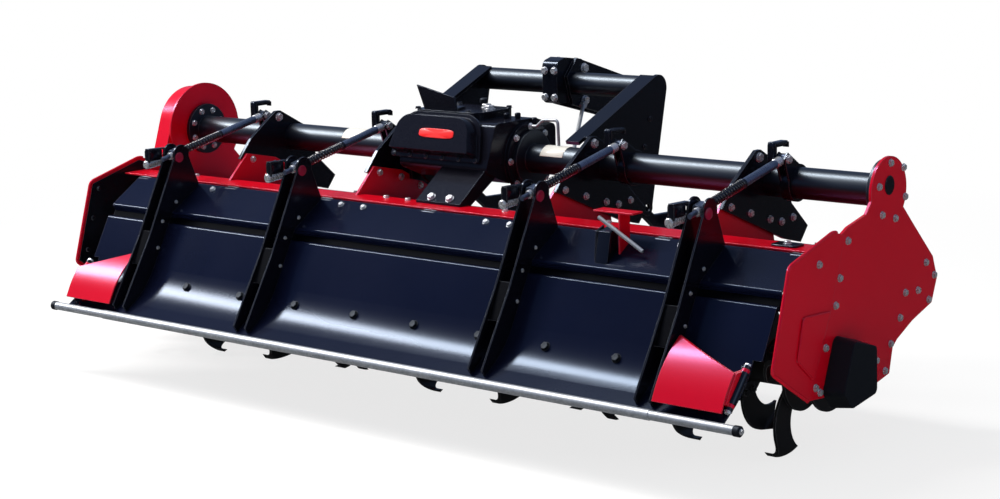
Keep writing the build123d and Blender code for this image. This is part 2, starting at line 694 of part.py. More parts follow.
# Brackets on the pipe that carry the rods' pins, each with a latch hook beside the rod
EAR_GAP = EYE_W + 2 * EYE_PLAY
with BuildPart() as rod_brackets:
    for name, centre_x in ARM_SIDES:
        bracket_x = centre_x - EAR_GAP / 2 - EAR_T
        with BuildSketch(side(bracket_x)):
            Circle(PIPE_R + BRACKET_BAND)
            Circle(PIPE_R, mode=Mode.SUBTRACT)
        extrude(amount=EAR_GAP + 2 * EAR_T)
        for ear_x in (bracket_x, centre_x + EAR_GAP / 2):
            with BuildSketch(side(ear_x)):
                with BuildLine():
                    Polyline(EAR_FOOT[0], *(polar(ROD_PIN, EAR_R, angle) for angle in EAR_SPAN), EAR_FOOT[1],
                             close=True)
                make_face()
                Circle(PIPE_R + BRACKET_BAND / 2, mode=Mode.SUBTRACT)
            extrude(amount=EAR_T)
        with BuildSketch(side(bracket_x)):
            with Locations(ROD_PIN):
                Circle(ROD_PIN_R)
        extrude(amount=EAR_GAP + 2 * EAR_T)
        with BuildSketch(side(bracket_x - HOOK_W)):
            with BuildLine():
                Polyline(*ROD_HOOK)
                offset(amount=HOOK_T, side=Side.RIGHT)
            make_face()
        extrude(amount=HOOK_W + EAR_T / 2)

# Folding wings: the board's lower profile turned over about the wing hinge
WING_SPAN = hypot(WING_FOOT[0] - WING_TOP[0], WING_FOOT[1] - WING_TOP[1])
WING_AXIS_TOP = along(WING_TOP, WING_FOOT, 0, -WING_LIFT)
WING_AXIS_FOOT = along(WING_TOP, WING_FOOT, WING_SPAN, -WING_LIFT)
TUBE_FROM = WING_SLANT + WING_TUBE_INSET
TUBE_LENGTH = WING_SPAN - TUBE_FROM - WING_TUBE_INSET
LUG_FROM = TUBE_FROM - WING_LUG_T - WING_LUG_GAP


def folded(point):
    """A point of the side view turned over about the wing's hinge line."""
    axis = (WING_AXIS_FOOT[0] - WING_AXIS_TOP[0], WING_AXIS_FOOT[1] - WING_AXIS_TOP[1])
    offset_to = (point[0] - WING_AXIS_TOP[0], point[1] - WING_AXIS_TOP[1])
    share = (axis[0] * offset_to[0] + axis[1] * offset_to[1]) / WING_SPAN ** 2
    return (
        2 * (WING_AXIS_TOP[0] + share * axis[0]) - point[0],
        2 * (WING_AXIS_TOP[1] + share * axis[1]) - point[1],
    )


WING_PROFILE = (folded(WING_TOP), folded(BOARD_KNEE), folded(WING_FOOT))
wings = {}
wing_hinges = {}
for name, hand in HANDS:
    hinge_x = hand * WING_HINGE_X
    inner_x = hinge_x - hand * (WING_GAP + WING_WIDTH)
    sheet_x = min(inner_x, hinge_x - hand * WING_GAP)
    hinge_plane = Plane(
        origin=(hinge_x, PIPE_Y + WING_AXIS_TOP[0], PIPE_Z + WING_AXIS_TOP[1]),
        x_dir=(1, 0, 0),
        z_dir=(0, WING_AXIS_FOOT[0] - WING_AXIS_TOP[0], WING_AXIS_FOOT[1] - WING_AXIS_TOP[1]),
    )
    with BuildPart() as wing:
        with BuildSketch(hinge_plane.offset(TUBE_FROM)):
            with Locations((-hand * (WING_GAP + WING_T) / 2, REACH / 2)):
                Rectangle(WING_GAP + WING_T, REACH)
        extrude(amount=TUBE_LENGTH)
        with BuildSketch(side(sheet_x - REACH)):
            with BuildLine():
                FilletPolyline(*WING_PROFILE, radius=BOARD_BEND_R)
                offset(amount=2 * REACH, side=Side.RIGHT)
            make_face()
        extrude(amount=WING_WIDTH + 2 * REACH, mode=Mode.SUBTRACT)
        with BuildSketch(side(sheet_x)):
            with BuildLine():
                FilletPolyline(*WING_PROFILE, radius=BOARD_BEND_R)
                offset(amount=WING_T, side=Side.RIGHT)
            make_face()
        extrude(amount=WING_WIDTH)
        with BuildSketch(Plane(origin=(hinge_x, PIPE_Y, PIPE_Z), x_dir=(1, 0, 0), z_dir=(0, -1, 0))):
            with BuildLine():
                Polyline(
                    (0, WING_TOP[1] - WING_SLANT),
                    (inner_x - hinge_x, WING_TOP[1] + WING_PEAK),
                    (inner_x - hinge_x, WING_TOP[1] + WING_PEAK + REACH),
                    (0, WING_TOP[1] + WING_PEAK + REACH),
                    close=True,
                )
            make_face()
        extrude(amount=DEEP, mode=Mode.SUBTRACT)
        with BuildSketch(hinge_plane.offset(TUBE_FROM)):
            Circle(WING_TUBE_R)
        extrude(amount=TUBE_LENGTH)
        with BuildSketch(hinge_plane.offset(TUBE_FROM)):
            Circle(WING_PIN_R + SHAFT_PLAY)
        extrude(amount=TUBE_LENGTH, mode=Mode.SUBTRACT)
    wings["wing_" + name] = wing.part
    with BuildPart() as wing_hinge:
        for lug_at in (LUG_FROM, TUBE_FROM + TUBE_LENGTH + WING_LUG_GAP):
            with BuildSketch(hinge_plane.offset(lug_at)):
                Circle(WING_TUBE_R)
                with Locations((-hand * (WING_GAP + WING_LUG_FOOT / 2), -REACH / 2)):
                    Rectangle(WING_LUG_FOOT, REACH)
            extrude(amount=WING_LUG_T)
        with BuildSketch(side(hinge_x - REACH)):
            with BuildLine():
                FilletPolyline(BOARD_EDGE, BOARD_KNEE, BOARD_FOOT, radius=BOARD_BEND_R)
                offset(amount=2 * REACH, side=Side.LEFT)
            make_face()
        extrude(amount=2 * REACH, mode=Mode.SUBTRACT)
        with BuildSketch(hinge_plane.offset(LUG_FROM)):
            Circle(WING_PIN_R)
        extrude(amount=TUBE_LENGTH + 2 * WING_LUG_T + 2 * WING_LUG_GAP)
    wing_hinges["wing_hinge_" + name] = wing_hinge.part

# Mast: two plates with a folded rear flange, a cross tube between them and the clamped top-link bracket
MAST_HEAD_R = MAST_TUBE_R + MAST_RIM
MAST_SLOPE = degrees(atan2(MAST_AIM[1] - MAST_REAR[1], MAST_AIM[0] - MAST_REAR[0]))
HEAD_BACK = polar(MAST_TUBE, MAST_HEAD_R, 90 + MAST_SLOPE)
HEAD_FRONT = polar(MAST_TUBE, MAST_HEAD_R, -14)
LUG_FRONT = polar(MAST_LUG, MAST_LUG_R, 12)
LUG_BACK = polar(MAST_LUG, MAST_LUG_R, 215)
mast_plates = {}
for name, hand in HANDS:
    outer_x = hand * MAST_X
    plate_x = outer_x - (MAST_T if hand > 0 else 0)
    flange_x = outer_x - (MAST_T + MAST_FLANGE if hand > 0 else -MAST_T)
    with BuildPart() as mast_plate:
        with BuildSketch(side(plate_x)):
            with BuildLine():
                Line(HEAD_FRONT, LUG_FRONT)
                ThreePointArc(LUG_FRONT, polar(MAST_LUG, MAST_LUG_R, -70), LUG_BACK)
                Polyline(LUG_BACK, *MAST_FOOT, MAST_REAR, HEAD_BACK)
                ThreePointArc(HEAD_BACK, polar(MAST_TUBE, MAST_HEAD_R, 45), HEAD_FRONT)
            make_face()
            Circle(PIPE_R, mode=Mode.SUBTRACT)
            with Locations(MAST_LUG):
                Circle(MAST_LUG_HOLE_R, mode=Mode.SUBTRACT)
        extrude(amount=MAST_T)
        with BuildSketch(side(flange_x)):
            with BuildLine():
                Polyline(
                    MAST_REAR,
                    along(MAST_REAR, HEAD_BACK, -MAST_FLANGE_TAIL),
                    along(MAST_REAR, HEAD_BACK, -MAST_FLANGE_TAIL, -MAST_T),
                    along(HEAD_BACK, MAST_REAR, 0, MAST_T),
                    HEAD_BACK,
                    close=True,
                )
            make_face()
            with Locations(MAST_TUBE):
                Circle(MAST_TUBE_R, mode=Mode.SUBTRACT)
        extrude(amount=MAST_FLANGE)
    mast_plates["mast_plate_" + name] = mast_plate.part

with BuildPart() as mast_tube:
    with BuildSketch(side(MAST_T - MAST_X)):
        with Locations(MAST_TUBE):
            Circle(MAST_TUBE_R)
            Circle(MAST_TUBE_R - PIPE_WALL, mode=Mode.SUBTRACT)
    extrude(amount=2 * (MAST_X - MAST_T))

LINK_FRONT = polar(TOP_LINK, LINK_END_R, 0)
LINK_UNDER = polar(TOP_LINK, LINK_END_R, 250)
with BuildPart() as top_link_bracket:
    with BuildSketch(side(-TOP_LINK_GAP / 2)):
        with BuildLine():
            FilletPolyline(*CLAMP_OUTLINE, radius=CLAMP_CORNER_R, close=True)
        make_face()
        with Locations(MAST_TUBE):
            Circle(MAST_TUBE_R, mode=Mode.SUBTRACT)
    extrude(amount=TOP_LINK_GAP)
    for plate_x in (-TOP_LINK_GAP / 2 - LINK_PLATE_T, TOP_LINK_GAP / 2):
        with BuildSketch(side(plate_x)):
            with BuildLine():
                Polyline(*LINK_HEEL, LINK_FRONT)
                ThreePointArc(LINK_FRONT, polar(TOP_LINK, LINK_END_R, -55), LINK_UNDER)
                Line(LINK_UNDER, LINK_HEEL[0])
            make_face()
            with Locations(MAST_TUBE):
                Circle(MAST_TUBE_R, mode=Mode.SUBTRACT)
            with Locations(TOP_LINK):
                Circle(TOP_LINK_R, mode=Mode.SUBTRACT)
        extrude(amount=LINK_PLATE_T)

# Lower hitch brackets, bolted inside the mast plates, each with an outward pin
HITCH_NOSE_TOP = polar(LOWER_LINK, HITCH_END_R, 80)
HITCH_NOSE_UNDER = polar(LOWER_LINK, HITCH_END_R, 260)
hitches = {}
for name, hand in HANDS:
    inner_x = hand * (MAST_X - MAST_T)
    plate_x = inner_x - (HITCH_T if hand > 0 else 0)
    boss_from = hand * (MAST_X - MAST_T - HITCH_T)
    boss_x = hand * LOWER_LINK_SPREAD / 2
    with BuildPart() as hitch:
        with BuildSketch(side(plate_x)):
            with BuildLine():
                Polyline(*HITCH_TOP, HITCH_NOSE_TOP)
                ThreePointArc(HITCH_NOSE_TOP, polar(LOWER_LINK, HITCH_END_R, -10), HITCH_NOSE_UNDER)
                Polyline(HITCH_NOSE_UNDER, *HITCH_UNDER)
            make_face()
        extrude(amount=HITCH_T)
        with BuildSketch(side(boss_from)):
            with Locations(LOWER_LINK):
                Circle(HITCH_BOSS_R)
        extrude(amount=boss_x - boss_from)
        with BuildSketch(side(boss_x)):
            with Locations(LOWER_LINK):
                Circle(LOWER_LINK_R)
        extrude(amount=hand * LOWER_LINK_PIN)
    hitches["lower_hitch_" + name] = hitch.part

# Side plates: the right one has a narrow neck, the left one a round head that carries the drive case
BORE_R = ROTOR_STUB_R + SHAFT_PLAY
HOUSING_DEPTH = ROTOR_END_GAP - BEARING_SET_BACK
NECK_BACK, NECK_TOP, NECK_FRONT = (polar(PIPE, PLATE_NECK_R, angle) for angle in PLATE_NECK_SPAN)
with BuildPart() as side_plate_right:
    with BuildSketch(side(PLATE_X)):
        with BuildLine():
            Polyline(NECK_FRONT, PLATE_NECK_FRONT, *PLATE_FRONT, *PLATE_BACK, PLATE_NECK_BACK, NECK_BACK)
            ThreePointArc(NECK_BACK, NECK_TOP, NECK_FRONT)
        make_face()
    extrude(amount=PLATE_T)
    with BuildSketch(side(PLATE_X - HOUSING_DEPTH)):
        with Locations(ROTOR):
            Circle(BEARING_R)
    extrude(amount=HOUSING_DEPTH)
    with BuildSketch(side(PLATE_X - ROTOR_END_GAP)):
        with Locations(ROTOR):
            Circle(BORE_R)
    extrude(amount=ROTOR_END_GAP + PLATE_T, mode=Mode.SUBTRACT)

HEAD_REAR, HEAD_TOP, HEAD_FORE = (polar(PIPE, HEAD_R, angle) for angle in HEAD_SPAN)
with BuildPart() as side_plate_left:
    with BuildSketch(side(-CASE_X - PLATE_T)):
        with BuildLine():
            Polyline(HEAD_FORE, *PLATE_FRONT, *PLATE_BACK, HEAD_REAR)
            ThreePointArc(HEAD_REAR, HEAD_TOP, HEAD_FORE)
        make_face()
    extrude(amount=PLATE_T)
    with BuildSketch(side(-CASE_X)):
        with Locations(ROTOR):
            Circle(BEARING_R)
    extrude(amount=HOUSING_DEPTH)
    with BuildSketch(side(-CASE_X - PLATE_T)):
        with Locations(ROTOR):
            Circle(BORE_R)
    extrude(amount=ROTOR_END_GAP + PLATE_T, mode=Mode.SUBTRACT)

# Drive case outside the left plate, from the pipe's end to the rotor
CASE_LENGTH = hypot(*ROTOR)
CASE_TILT = degrees(atan2(ROTOR[1], ROTOR[0]))
CASE_SPREAD = degrees(acos((CASE_HEAD_R - CASE_FOOT_R) / CASE_LENGTH))
CASE_SIDES = (CASE_TILT + CASE_SPREAD, CASE_TILT - CASE_SPREAD)
HEAD_ENDS = [polar(PIPE, CASE_HEAD_R, angle) for angle in CASE_SIDES]
FOOT_ENDS = [polar(ROTOR, CASE_FOOT_R, angle) for angle in CASE_SIDES]
with BuildPart() as drive_case:
    with BuildSketch(side(-CASE_X - PLATE_T)):
        with BuildLine():
            ThreePointArc(HEAD_ENDS[0], polar(PIPE, CASE_HEAD_R, CASE_TILT + 180), HEAD_ENDS[1])
            ThreePointArc(FOOT_ENDS[0], polar(ROTOR, CASE_FOOT_R, CASE_TILT), FOOT_ENDS[1])
            Line(HEAD_ENDS[0], FOOT_ENDS[0])
            Line(HEAD_ENDS[1], FOOT_ENDS[1])
        make_face()
    extrude(amount=-CASE_T, taper=CASE_DRAFT)
    with BuildSketch(side(-CASE_X - PLATE_T)):
        with Locations(ROTOR):
            Circle(BORE_R)
    extrude(amount=-BEARING_DEPTH, mode=Mode.SUBTRACT)

# Rear side covers outside the plates, each with a raised field
rear_covers = {}
for name, cover_x, outward in (("left", -CASE_X - PLATE_T, -1), ("right", PLATE_X + PLATE_T, 1)):
    with BuildPart() as rear_cover:
        with BuildSketch(side(cover_x)):
            with BuildLine():
                Polyline(*REAR_COVER, close=True)
            make_face()
        extrude(amount=outward * REAR_COVER_T)
        with BuildSketch(side(cover_x + outward * REAR_COVER_T)):
            with BuildLine():
                Polyline(*REAR_RIB, close=True)
            make_face()
        extrude(amount=outward * REAR_RIB_T)
    rear_covers["rear_cover_" + name] = rear_cover.part

# Bearing guard on the right plate
with BuildPart() as bearing_guard:
    with BuildSketch(side(PLATE_X + PLATE_T)):
        with BuildLine():
            FilletPolyline(*GUARD_OUTLINE, radius=GUARD_CORNER_R, close=True)
        make_face()
    extrude(amount=GUARD_DEPTH, taper=GUARD_DRAFT)
    with BuildSketch(side(PLATE_X + PLATE_T)):
        with Locations(ROTOR):
            Circle(BORE_R)
    extrude(amount=BEARING_DEPTH, mode=Mode.SUBTRACT)

# Rotor: tube, stubs and flanges with tines bent to either side
ROTOR_AXIS = Axis((0, PIPE_Y + ROTOR_Y, PIPE_Z + ROTOR_Z), (1, 0, 0))
TINE_PLANE = Plane(origin=ROTOR_AXIS.position, x_dir=(0, 1, 0), z_dir=(1, 0, 0))
BEND_PLANE = Plane(
    origin=ROTOR_AXIS.position,
    x_dir=(1, 0, 0),
    z_dir=(0, -sin(radians(TINE_LEAN)), cos(radians(TINE_LEAN))),
)
HUB = (0.0, 0.0)
HEEL_R = TIP_R - TINE_HEEL
LEADING = (
    polar(HUB, TINE_ROOT_R, TINE_LEADING[0]),
    polar(HUB, (TINE_ROOT_R + TIP_R) / 2, TINE_LEADING[1]),
    polar(HUB, TIP_R, TINE_LEADING[2]),
)
TRAILING = (
    polar(HUB, TINE_ROOT_R, TINE_TRAILING[0]),
    polar(HUB, (TINE_ROOT_R + HEEL_R) / 2, TINE_TRAILING[1]),
    polar(HUB, HEEL_R, TINE_TRAILING[2]),
)
with BuildPart() as tine:
    with BuildSketch(TINE_PLANE):
        with BuildLine():
            ThreePointArc(*LEADING)
            ThreePointArc(*TRAILING)
            Line(LEADING[0], TRAILING[0])
            Line(LEADING[2], TRAILING[2])
        make_face()
    extrude(amount=TINE_LIP + TINE_T)
    with BuildSketch(BEND_PLANE):
        with BuildLine():
            FilletPolyline(HUB, (0, TIP_R), (TINE_LIP, TIP_R), radius=TINE_BEND_R)
            offset(amount=TINE_T, side=Side.RIGHT)
        make_face()
    extrude(amount=TIP_R, both=True, mode=Mode.INTERSECT)

ROTOR_LEFT = -CASE_X + ROTOR_END_GAP
ROTOR_RIGHT = PLATE_X - ROTOR_END_GAP
STUB_LEFT = -CASE_X - PLATE_T - BEARING_DEPTH + ROTOR_STUB_GAP
STUB_RIGHT = PLATE_X + PLATE_T + BEARING_DEPTH - ROTOR_STUB_GAP
FLANGE_PITCH = (ROTOR_RIGHT - ROTOR_LEFT - 2 * FLANGE_INSET) / (FLANGE_COUNT - 1)
right_tine = tine.part.moved(Location((FLANGE_T / 2, 0, 0)))
left_tine = mirror(right_tine, about=Plane.YZ)
tines = []
for index in range(FLANGE_COUNT):
    flange_at = Location((ROTOR_LEFT + FLANGE_INSET + index * FLANGE_PITCH, 0, 0))
    for step in range(TINES_PER_FLANGE):
        bent = right_tine if step % 2 == 0 else left_tine
        turn = 360 / TINES_PER_FLANGE * step + FLANGE_TWIST * index
        tines.append(bent.rotate(ROTOR_AXIS, turn).moved(flange_at))
with BuildPart() as rotor:
    with BuildSketch(side(ROTOR_LEFT)):
        with Locations(ROTOR):
            Circle(ROTOR_TUBE_R)
    extrude(amount=ROTOR_RIGHT - ROTOR_LEFT)
    with BuildSketch(side(STUB_LEFT)):
        with Locations(ROTOR):
            Circle(ROTOR_STUB_R)
    extrude(amount=STUB_RIGHT - STUB_LEFT)
    for index in range(FLANGE_COUNT):
        with BuildSketch(side(ROTOR_LEFT + FLANGE_INSET + index * FLANGE_PITCH - FLANGE_T / 2)):
            with Locations(ROTOR):
                Circle(FLANGE_R)
        extrude(amount=FLANGE_T)
    add(tines)

# Lever bracket on the upper rear panel, with its lever and stand plate
with BuildPart() as lever_bracket:
    with BuildSketch(side(LEVER_X)):
        with BuildLine():
            Polyline((LEVER_FRONT, LEVER_UP), (LEVER_BACK, LEVER_UP), (LEVER_BACK, panel_top(LEVER_BACK)),
                     (LEVER_FRONT, panel_top(LEVER_FRONT)), close=True)
        make_face()
    extrude(amount=LEVER_SHEET)
    with BuildSketch(side(LEVER_X - LEVER_TOP_LEFT)):
        with BuildLine():
            Polyline((LEVER_FRONT, LEVER_UP), (LEVER_BACK, LEVER_UP), (LEVER_BACK, LEVER_UP + LEVER_SHEET),
                     (LEVER_FRONT, LEVER_UP + LEVER_SHEET), close=True)
        make_face()
    extrude(amount=LEVER_TOP_W)

with BuildPart() as lever_stand:
    with BuildSketch(side(STAND_X)):
        with BuildLine():
            Polyline((STAND_FRONT[0], panel_top(STAND_FRONT[0])), STAND_FRONT, STAND_BACK,
                     (STAND_FOOT, panel_top(STAND_FOOT)), close=True)
        make_face()
    extrude(amount=STAND_T)

LEVER_Y = PIPE_Y + LEVER_BACK - LEVER_R
lever_from = Vector(LEVER_X + LEVER_FROM[0], LEVER_Y, PIPE_Z + LEVER_UP + LEVER_FROM[1])
lever_to = Vector(LEVER_X + LEVER_TO[0], LEVER_Y, PIPE_Z + LEVER_UP + LEVER_TO[1])
with BuildPart() as lever:
    with BuildSketch(Plane(origin=lever_from, z_dir=lever_to - lever_from)):
        Circle(LEVER_R)
    extrude(amount=(lever_to - lever_from).length)

# Stay rod from the top-link bracket down to the pipe
stay_x = TOP_LINK_GAP / 2 + LINK_PLATE_T
stay_from = Vector(stay_x + STAY_EYE_W / 2, PIPE_Y + STAY_EYE[0], PIPE_Z + STAY_EYE[1])
stay_to = Vector(STAY_FOOT[0], PIPE_Y + STAY_FOOT[1], PIPE_Z + STAY_FOOT[2])
with BuildPart() as stay_rod:
    with BuildSketch(Plane(origin=stay_from, z_dir=stay_to - stay_from)):
        Circle(STAY_R)
    extrude(amount=(stay_to - stay_from).length)
    with BuildSketch(side(stay_x)):
        with Locations(STAY_EYE):
            Circle(STAY_EYE_R)
    extrude(amount=STAY_EYE_W)
    with BuildSketch(side(GEARBOX_RIGHT)):
        Circle(PIPE_R)
    extrude(amount=PLATE_X - GEARBOX_RIGHT, mode=Mode.SUBTRACT)

# Bent wire loop from the gearbox flange to the pipe
with BuildPart() as wire_loop:
    with BuildLine(Plane(origin=(0, PIPE_Y, PIPE_Z), x_dir=(1, 0, 0), z_dir=(0, -1, 0))) as loop_line:
        FilletPolyline(*LOOP_PATH, radius=LOOP_BEND_R)
    with BuildSketch(Plane(origin=loop_line.line @ 0, z_dir=loop_line.line % 0)):
        Circle(LOOP_R)
    sweep(path=loop_line.line)
    with BuildSketch(side(GEARBOX_RIGHT)):
        Circle(PIPE_R)
    extrude(amount=PLATE_X - GEARBOX_RIGHT, mode=Mode.SUBTRACT)

pieces = {
    **pipes, **uprights, **mast_plates, **hitches, **rear_covers, **arms, **rods, **wings, **wing_hinges,
    "gearbox_case": gearbox_case.part,
    "gearbox_cover": gearbox_cover.part,
    "gearbox_guard": gearbox_guard.part,
    "input_shaft": input_shaft.part,
    "hood": hood.part,
    "hood_gussets": hood_gussets.part,
    "hinge_bar": hinge_bar.part,
    "rear_panel": rear_panel.part,
    "board": board.part,
    "board_tube": board_tube.part,
    "rod_springs": rod_springs.part,
    "rod_brackets": rod_brackets.part,
    "mast_tube": mast_tube.part,
    "top_link_bracket": top_link_bracket.part,
    "side_plate_right": side_plate_right.part,
    "side_plate_left": side_plate_left.part,
    "drive_case": drive_case.part,
    "bearing_guard": bearing_guard.part,
    "rotor": rotor.part,
    "lever_bracket": lever_bracket.part,
    "lever_stand": lever_stand.part,
    "lever": lever.part,
    "stay_rod": stay_rod.part,
    "wire_loop": wire_loop.part,
}
os.makedirs("parts", exist_ok=True)
for label, piece in pieces.items():
    piece.label = label
    export_step(piece, f"parts/{label}.step")
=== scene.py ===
"""Dresses the rotary tiller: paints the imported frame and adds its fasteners, springs and small fittings."""

import json
import logging
import math
from dataclasses import dataclass
from dataclasses import field
from enum import Enum

import bmesh
import bpy
import numpy as np
from mathutils import Matrix
from mathutils import Vector


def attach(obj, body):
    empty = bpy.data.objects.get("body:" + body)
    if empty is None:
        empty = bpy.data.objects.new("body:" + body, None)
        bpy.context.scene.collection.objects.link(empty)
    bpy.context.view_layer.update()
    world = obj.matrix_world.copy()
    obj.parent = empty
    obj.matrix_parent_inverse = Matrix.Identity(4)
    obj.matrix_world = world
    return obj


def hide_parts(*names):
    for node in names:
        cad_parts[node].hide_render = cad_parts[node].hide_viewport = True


Socket = bpy.types.NodeSocket
Pair = tuple[float, float]
Point = tuple[float, float, float]
Colour = tuple[float, float, float]
Table = tuple[Pair, ...]

LOG = logging.getLogger("tiller")
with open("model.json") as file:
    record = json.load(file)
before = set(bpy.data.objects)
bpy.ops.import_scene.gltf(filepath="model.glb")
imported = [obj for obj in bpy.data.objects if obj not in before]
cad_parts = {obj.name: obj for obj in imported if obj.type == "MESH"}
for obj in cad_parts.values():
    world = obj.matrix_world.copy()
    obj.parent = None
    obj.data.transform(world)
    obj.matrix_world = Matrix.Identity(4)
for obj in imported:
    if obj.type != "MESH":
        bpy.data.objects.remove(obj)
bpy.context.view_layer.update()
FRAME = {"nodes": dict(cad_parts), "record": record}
MM = 0.001
PIPE_AXIS = np.array((0.0, -545.0, -128.0))
RIGHT = np.array((1.0, 0.0, 0.0))
LEFT = np.array((-1.0, 0.0, 0.0))
AHEAD = np.array((0.0, 1.0, 0.0))
BACK = np.array((0.0, -1.0, 0.0))
UP = np.array((0.0, 0.0, 1.0))
HANDS = (("left", -1.0), ("right", 1.0))
ARM_PLACES = (-1093.0, -496.0, 496.0, 1093.0)
ROTOR_AXIS = (-245.0, -505.0)
PLATE_EDGE = 0.001
PLAQUE_POINTS = 48
SIDEWAYS = 0.8


class Body(Enum):
    """The moving groups that carry pieces of the scene."""

    FRAME = "frame"
    ROTOR = "rotor"
    BOARD = "board"
    RODS = "rods"
    WING_LEFT = "wing_left"
    WING_RIGHT = "wing_right"


class Slot(Enum):
    """The record's names for the finishes, and five more for the scene alone."""

    RED = "red_paint"
    BLACK = "black_paint"
    NAVY = "navy_paint"
    ZINC = "zinc"
    SPRING = "spring_steel"
    ROD = "rod_steel"
    CASTING = "casting"
    TINE = "tine_steel"
    BRIGHT = "bright_steel"
    GUARD = "guard_plastic"
    PAD = "pale_pad"
    PLATE = "red_plate"
    LENS = "red_lens"
    # Near-black matt finish that paints shade on strips laid in shadowed places.
    PAINTED_SHADE = "painted_shade_black"
    PIPE = "satin_pipe"


class Wiring:
    """Adds nodes to one tree and links them by socket name."""

    def __init__(self, tree: bpy.types.NodeTree) -> None:
        """Clears the tree.

        Args:
            tree: the node tree of a material, world or group.
        """
        self.tree = tree
        tree.nodes.clear()

    def add(self, kind: str, links: dict | None = None, **settings: object) -> bpy.types.Node:
        """Adds one node.

        Args:
            kind: the node's type without its Shader Node prefix.
            links: socket name or index to an output socket or a plain value.
            settings: properties of the node, set before its sockets.

        Returns:
            The new node.
        """
        prefix = "" if kind.startswith("Node") else "ShaderNode"
        node = self.tree.nodes.new(prefix + kind)
        for name, value in settings.items():
            setattr(node, name, value)
        for key, value in (links or {}).items():
            if isinstance(value, Socket):
                self.tree.links.new(value, node.inputs[key])
            else:
                node.inputs[key].default_value = value
        return node

    def math(self, operation: str, first: object, second: object, third: object = 0.0) -> Socket:
        """Adds a Math node that keeps its result between 0 and 1.

        Args:
            operation: the node's operation.
            first: socket or number.
            second: socket or number.
            third: socket or number.

        Returns:
            The result socket.
        """
        node = self.add("Math", {0: first, 1: second, 2: third}, operation=operation, use_clamp=True)
        return node.outputs[0]

    def mix(self, factor: object, first: object, second: object) -> Socket:
        """Mixes two colours.

        Args:
            factor: share of the second colour.
            first: socket or colour.
            second: socket or colour.

        Returns:
            The mixed colour.
        """
        node = self.add("Mix", {0: factor, 6: first, 7: second}, data_type="RGBA")
        return node.outputs[2]

    def blend(self, factor: object, first: bpy.types.Node, second: bpy.types.Node) -> bpy.types.Node:
        """Mixes two shaders.

        Args:
            factor: share of the second shader.
            first: a shader node.
            second: another.

        Returns:
            The mixing node.
        """
        return self.add("MixShader", {0: factor, 1: first.outputs[0], 2: second.outputs[0]})

    def spread(self, value: object, low: float, high: float) -> Socket:
        """Stretches a value from 0..1 to low..high.

        Args:
            value: socket to stretch.
            low: result at 0.
            high: result at 1.

        Returns:
            The stretched value.
        """
        node = self.add("MapRange", {"Value": value, "To Min": low, "To Max": high})
        return node.outputs[0]

    def noise(self, place: Socket, scale: float, detail: float) -> Socket:
        """Adds a noise texture.

        Args:
            place: coordinates in metres.
            scale: cycles per metre.
            detail: octaves.

        Returns:
            The noise value.
        """
        return self.add("TexNoise", {"Vector": place, "Scale": scale, "Detail": detail}).outputs[0]

    def bump(self, relief: Pair, height: Socket, normal: Socket) -> Socket:
        """Adds a bump to a normal.

        Args:
            relief: its strength, and its depth in metres.
            height: the height that it shows.
            normal: the normal to start from.

        Returns:
            The bumped normal.
        """
        strength, depth = relief
        links = {"Strength": strength, "Distance": depth, "Height": height, "Normal": normal}
        return self.add("Bump", links).outputs[0]

    def place(self) -> Socket:
        """Gives the object's own coordinates."""
        return self.add("TexCoord").outputs["Object"]


def new_group(name: str, inputs: dict[str, float], outputs: dict[str, str]) -> tuple[Wiring, dict, dict]:
    """Starts a shader node group.

    Args:
        name: the group's name.
        inputs: number inputs with their first values.
        outputs: outputs with their socket types.

    Returns:
        The wiring, the input sockets by name and the output node's sockets by name.
    """
    tree = bpy.data.node_groups.new(name, "ShaderNodeTree")
    for label, value in inputs.items():
        socket = tree.interface.new_socket(label, in_out="INPUT", socket_type="NodeSocketFloat")
        socket.default_value = value
    for label, kind in outputs.items():
        tree.interface.new_socket(label, in_out="OUTPUT", socket_type=kind)
    wiring = Wiring(tree)
    entry = wiring.add("NodeGroupInput")
    leave = wiring.add("NodeGroupOutput")
    return wiring, {s.name: s for s in entry.outputs}, {s.name: s for s in leave.inputs}


def new_material(name: str) -> tuple[bpy.types.Material, Wiring]:
    """Starts a material with an empty tree.

    Args:
        name: the material's name.

    Returns:
        The material and its wiring.
    """
    item = bpy.data.materials.new(name)
    item.use_nodes = True
    return item, Wiring(item.node_tree)


